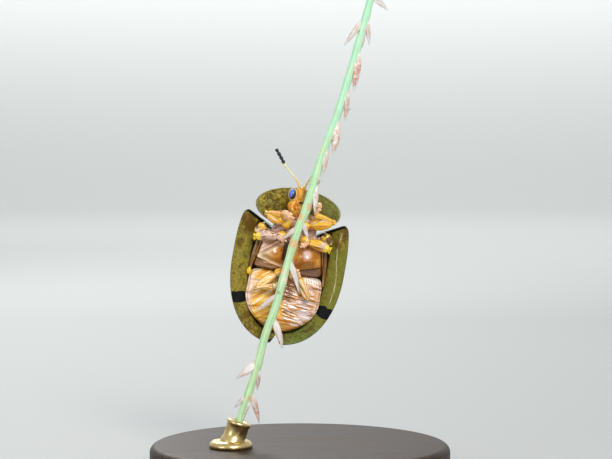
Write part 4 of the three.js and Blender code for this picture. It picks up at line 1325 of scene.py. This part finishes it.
# Collar and rod: quarter-rounded steps from the base up to just below the mouth that holds the stem
def ferruleSurfaces():
    look = standLook
    foot, ahead = (toWorld((x, y, stemLook["lift"])) * 1000 for x, y in stemLook["route"][:2])
    axis = (ahead - foot) / np.linalg.norm(ahead - foot)
    floor = look["thickness"]
    ground = foot - axis * (foot[2] - floor) / axis[2]
    up, r = look["collarHeight"], look["collarRadius"]
    collar = [(0, 0), (r, 0), (r, up * 0.45), (r - 0.06, up * 0.72), (r - 0.2, up), (r - 0.45, up * 1.06),
              (0.3, up * 1.08), (0, up * 1.08)]
    length = np.linalg.norm(foot - ground) + 0.12
    s = look["rodRadius"]
    rod = [(0, -0.02), (s * 1.12, -0.02), (s * 1.12, up * 1.2), (s, up * 1.35), (s, length - 0.3),
           (s * 1.08, length - 0.24), (s * 1.08, length - 0.06), (s * 0.98, length), (s * 0.45, length),
           (s * 0.42, length - 0.15), (0, length - 0.15)]
    rise = np.array([0, 0, 1.0])
    return [turned(ground, rise, collar, 72), turned(ground, axis, rod, 72)]


def standBaseMaterial():
    spot, *_ = startMaterial("standWood")
    grain = noise(stretched(spot, (0.12, 1.4, 0.6)), 1.0, 5, 0.6, 0.4)
    colour = blend(ramp(grain, 0.4, 0.64), standLook["wood"], standLook["grain"])
    sockets = {"Specular IOR Level": 0.22, "Coat Weight": 0.04, "Coat Roughness": 0.2}
    return finishMaterial(colour, ramp(grain, 0.3, 0.7, 0.5, 0.62), grain, 0.01, **sockets)


def standRodMaterial():
    spot, *_ = startMaterial("standBrass")
    brush = noise(stretched(spot, (0.9, 0.9, 9.0)), 1.0, 3, 0.6)
    colour = blend(brush, standLook["brass"], standLook["brassLight"])
    rough = ramp(brush, 0.3, 0.7, 0.22, 0.36)
    return finishMaterial(colour, rough, brush, 0.004, Metallic=1.0)


baseShape = turned((0, 0, 0), (0, 0, 1.0), baseProfile(), 192)
addPiece("standWoodBase", [baseShape], standBaseMaterial(), ["stand_base"], toMetres)
addPiece("standBrassRod", ferruleSurfaces(), standRodMaterial(), ["stand_rod"], toMetres)
print("stage: stand")

# Floor that bends up into a low wall all round, lights and camera
studioLook = {
    "floorRadius": 0.42, "bend": 0.22, "wall": 0.3, "paint": (0.40, 0.41, 0.405),
    "wallPaint": (0.84, 0.86, 0.85),
    "sky": (0.90, 0.93, 0.95), "skyStrength": 0.75,
}


# A bowl: a flat disc, a quarter round of radius bend, and a short upright wall
def addFloor():
    look = studioLook
    bend = np.linspace(0, 90, 25) * np.pi / 180
    flat = look["floorRadius"] * np.linspace(0.02, 1, 12)
    radius = np.concatenate([flat, look["floorRadius"] + look["bend"] * np.sin(bend[1:])])
    height = np.concatenate([0 * flat, look["bend"] * (1 - np.cos(bend[1:]))])
    radius = np.append(radius, radius[-1])
    height = np.append(height, look["wall"])
    sides = 128
    angle = fullTurn(sides)
    x, y = radius[:, None] * np.cos(angle), radius[:, None] * np.sin(angle)
    verts = np.vstack([[[0, 0, 0]], np.stack([x, y, height[:, None] + 0 * x], -1).reshape(-1, 3)])
    ring = np.arange(sides)
    after = (ring + 1) % sides
    start = 1 + np.arange(len(radius) - 1)[:, None] * sides
    quads = np.stack([start + ring, start + sides + ring, start + sides + after, start + after], -1)
    faces = np.stack([0 * ring, 1 + ring, 1 + after], -1).tolist() + quads.reshape(-1, 4).tolist()
    startMaterial("studioFloorPaint")
    up = split(node("ShaderNodeTexCoord").outputs["Object"])[2]
    colour = blend(ramp(up, 0.0, 0.12), look["paint"], look["wallPaint"])
    meshObject("studioFloor", verts, faces, finishMaterial(colour, 0.7))


# Puts an object at spot with its -Z axis towards target
def aimAt(thing, spot, target):
    thing.location = spot
    thing.rotation_euler = (Vector(target) - Vector(spot)).to_track_quat("-Z", "Y").to_euler()


def addLight(name, spot, size, watts, colour=(1, 1, 1), target=(0.0004, 0.0, 0.0155)):
    light = bpy.data.lights.new(name, "AREA")
    light.shape = "DISK"
    light.size = size
    light.energy = watts
    light.color = colour
    lamp = bpy.data.objects.new(name, light)
    bpy.context.scene.collection.objects.link(lamp)
    aimAt(lamp, spot, target)


addFloor()
addLight("keyLight", (0.065, -0.19, 0.115), 0.07, 0.36, (1.0, 0.98, 0.95))
addLight("fillLight", (-0.16, -0.14, 0.07), 0.1, 0.08, (0.94, 0.98, 1.0))
addLight("rimLight", (-0.05, 0.16, 0.14), 0.06, 0.25)
addLight("wallLight", (0.0, 0.22, 0.28), 0.2, 1.4, target=(0.0, 0.64, 0.12))
world = bpy.data.worlds.new("studioSky")
bpy.context.scene.world = world
world.use_nodes = True
sky = world.node_tree.nodes["Background"]
sky.inputs[0].default_value = (*studioLook["sky"], 1.0)
sky.inputs[1].default_value = studioLook["skyStrength"]
bpy.context.scene.view_settings.view_transform = "Standard"

# The picture is 612 x 459 and 14.36 of its pixels are a millimetre at the beetle
cameraLook = {"distance": 0.15, "rise": 3.0, "centreX": 0.00042, "centreZ": 0.01721, "widthMm": 42.62}
lens36 = bpy.data.cameras.new("photoCamera")
camera = bpy.data.objects.new("photoCamera", lens36)
bpy.context.scene.collection.objects.link(camera)
rise = math.radians(cameraLook["rise"])
centre = (cameraLook["centreX"], 0.0, cameraLook["centreZ"])
aimAt(camera, (centre[0], -cameraLook["distance"] * math.cos(rise),
               centre[2] + cameraLook["distance"] * math.sin(rise)), centre)
lens36.sensor_width = 36.0
lens36.lens = 36.0 * cameraLook["distance"] * 1000 / cameraLook["widthMm"]
lens36.clip_start = 0.002
lens36.clip_end = 10.0
bpy.context.scene.camera = camera
print("stage: studio")
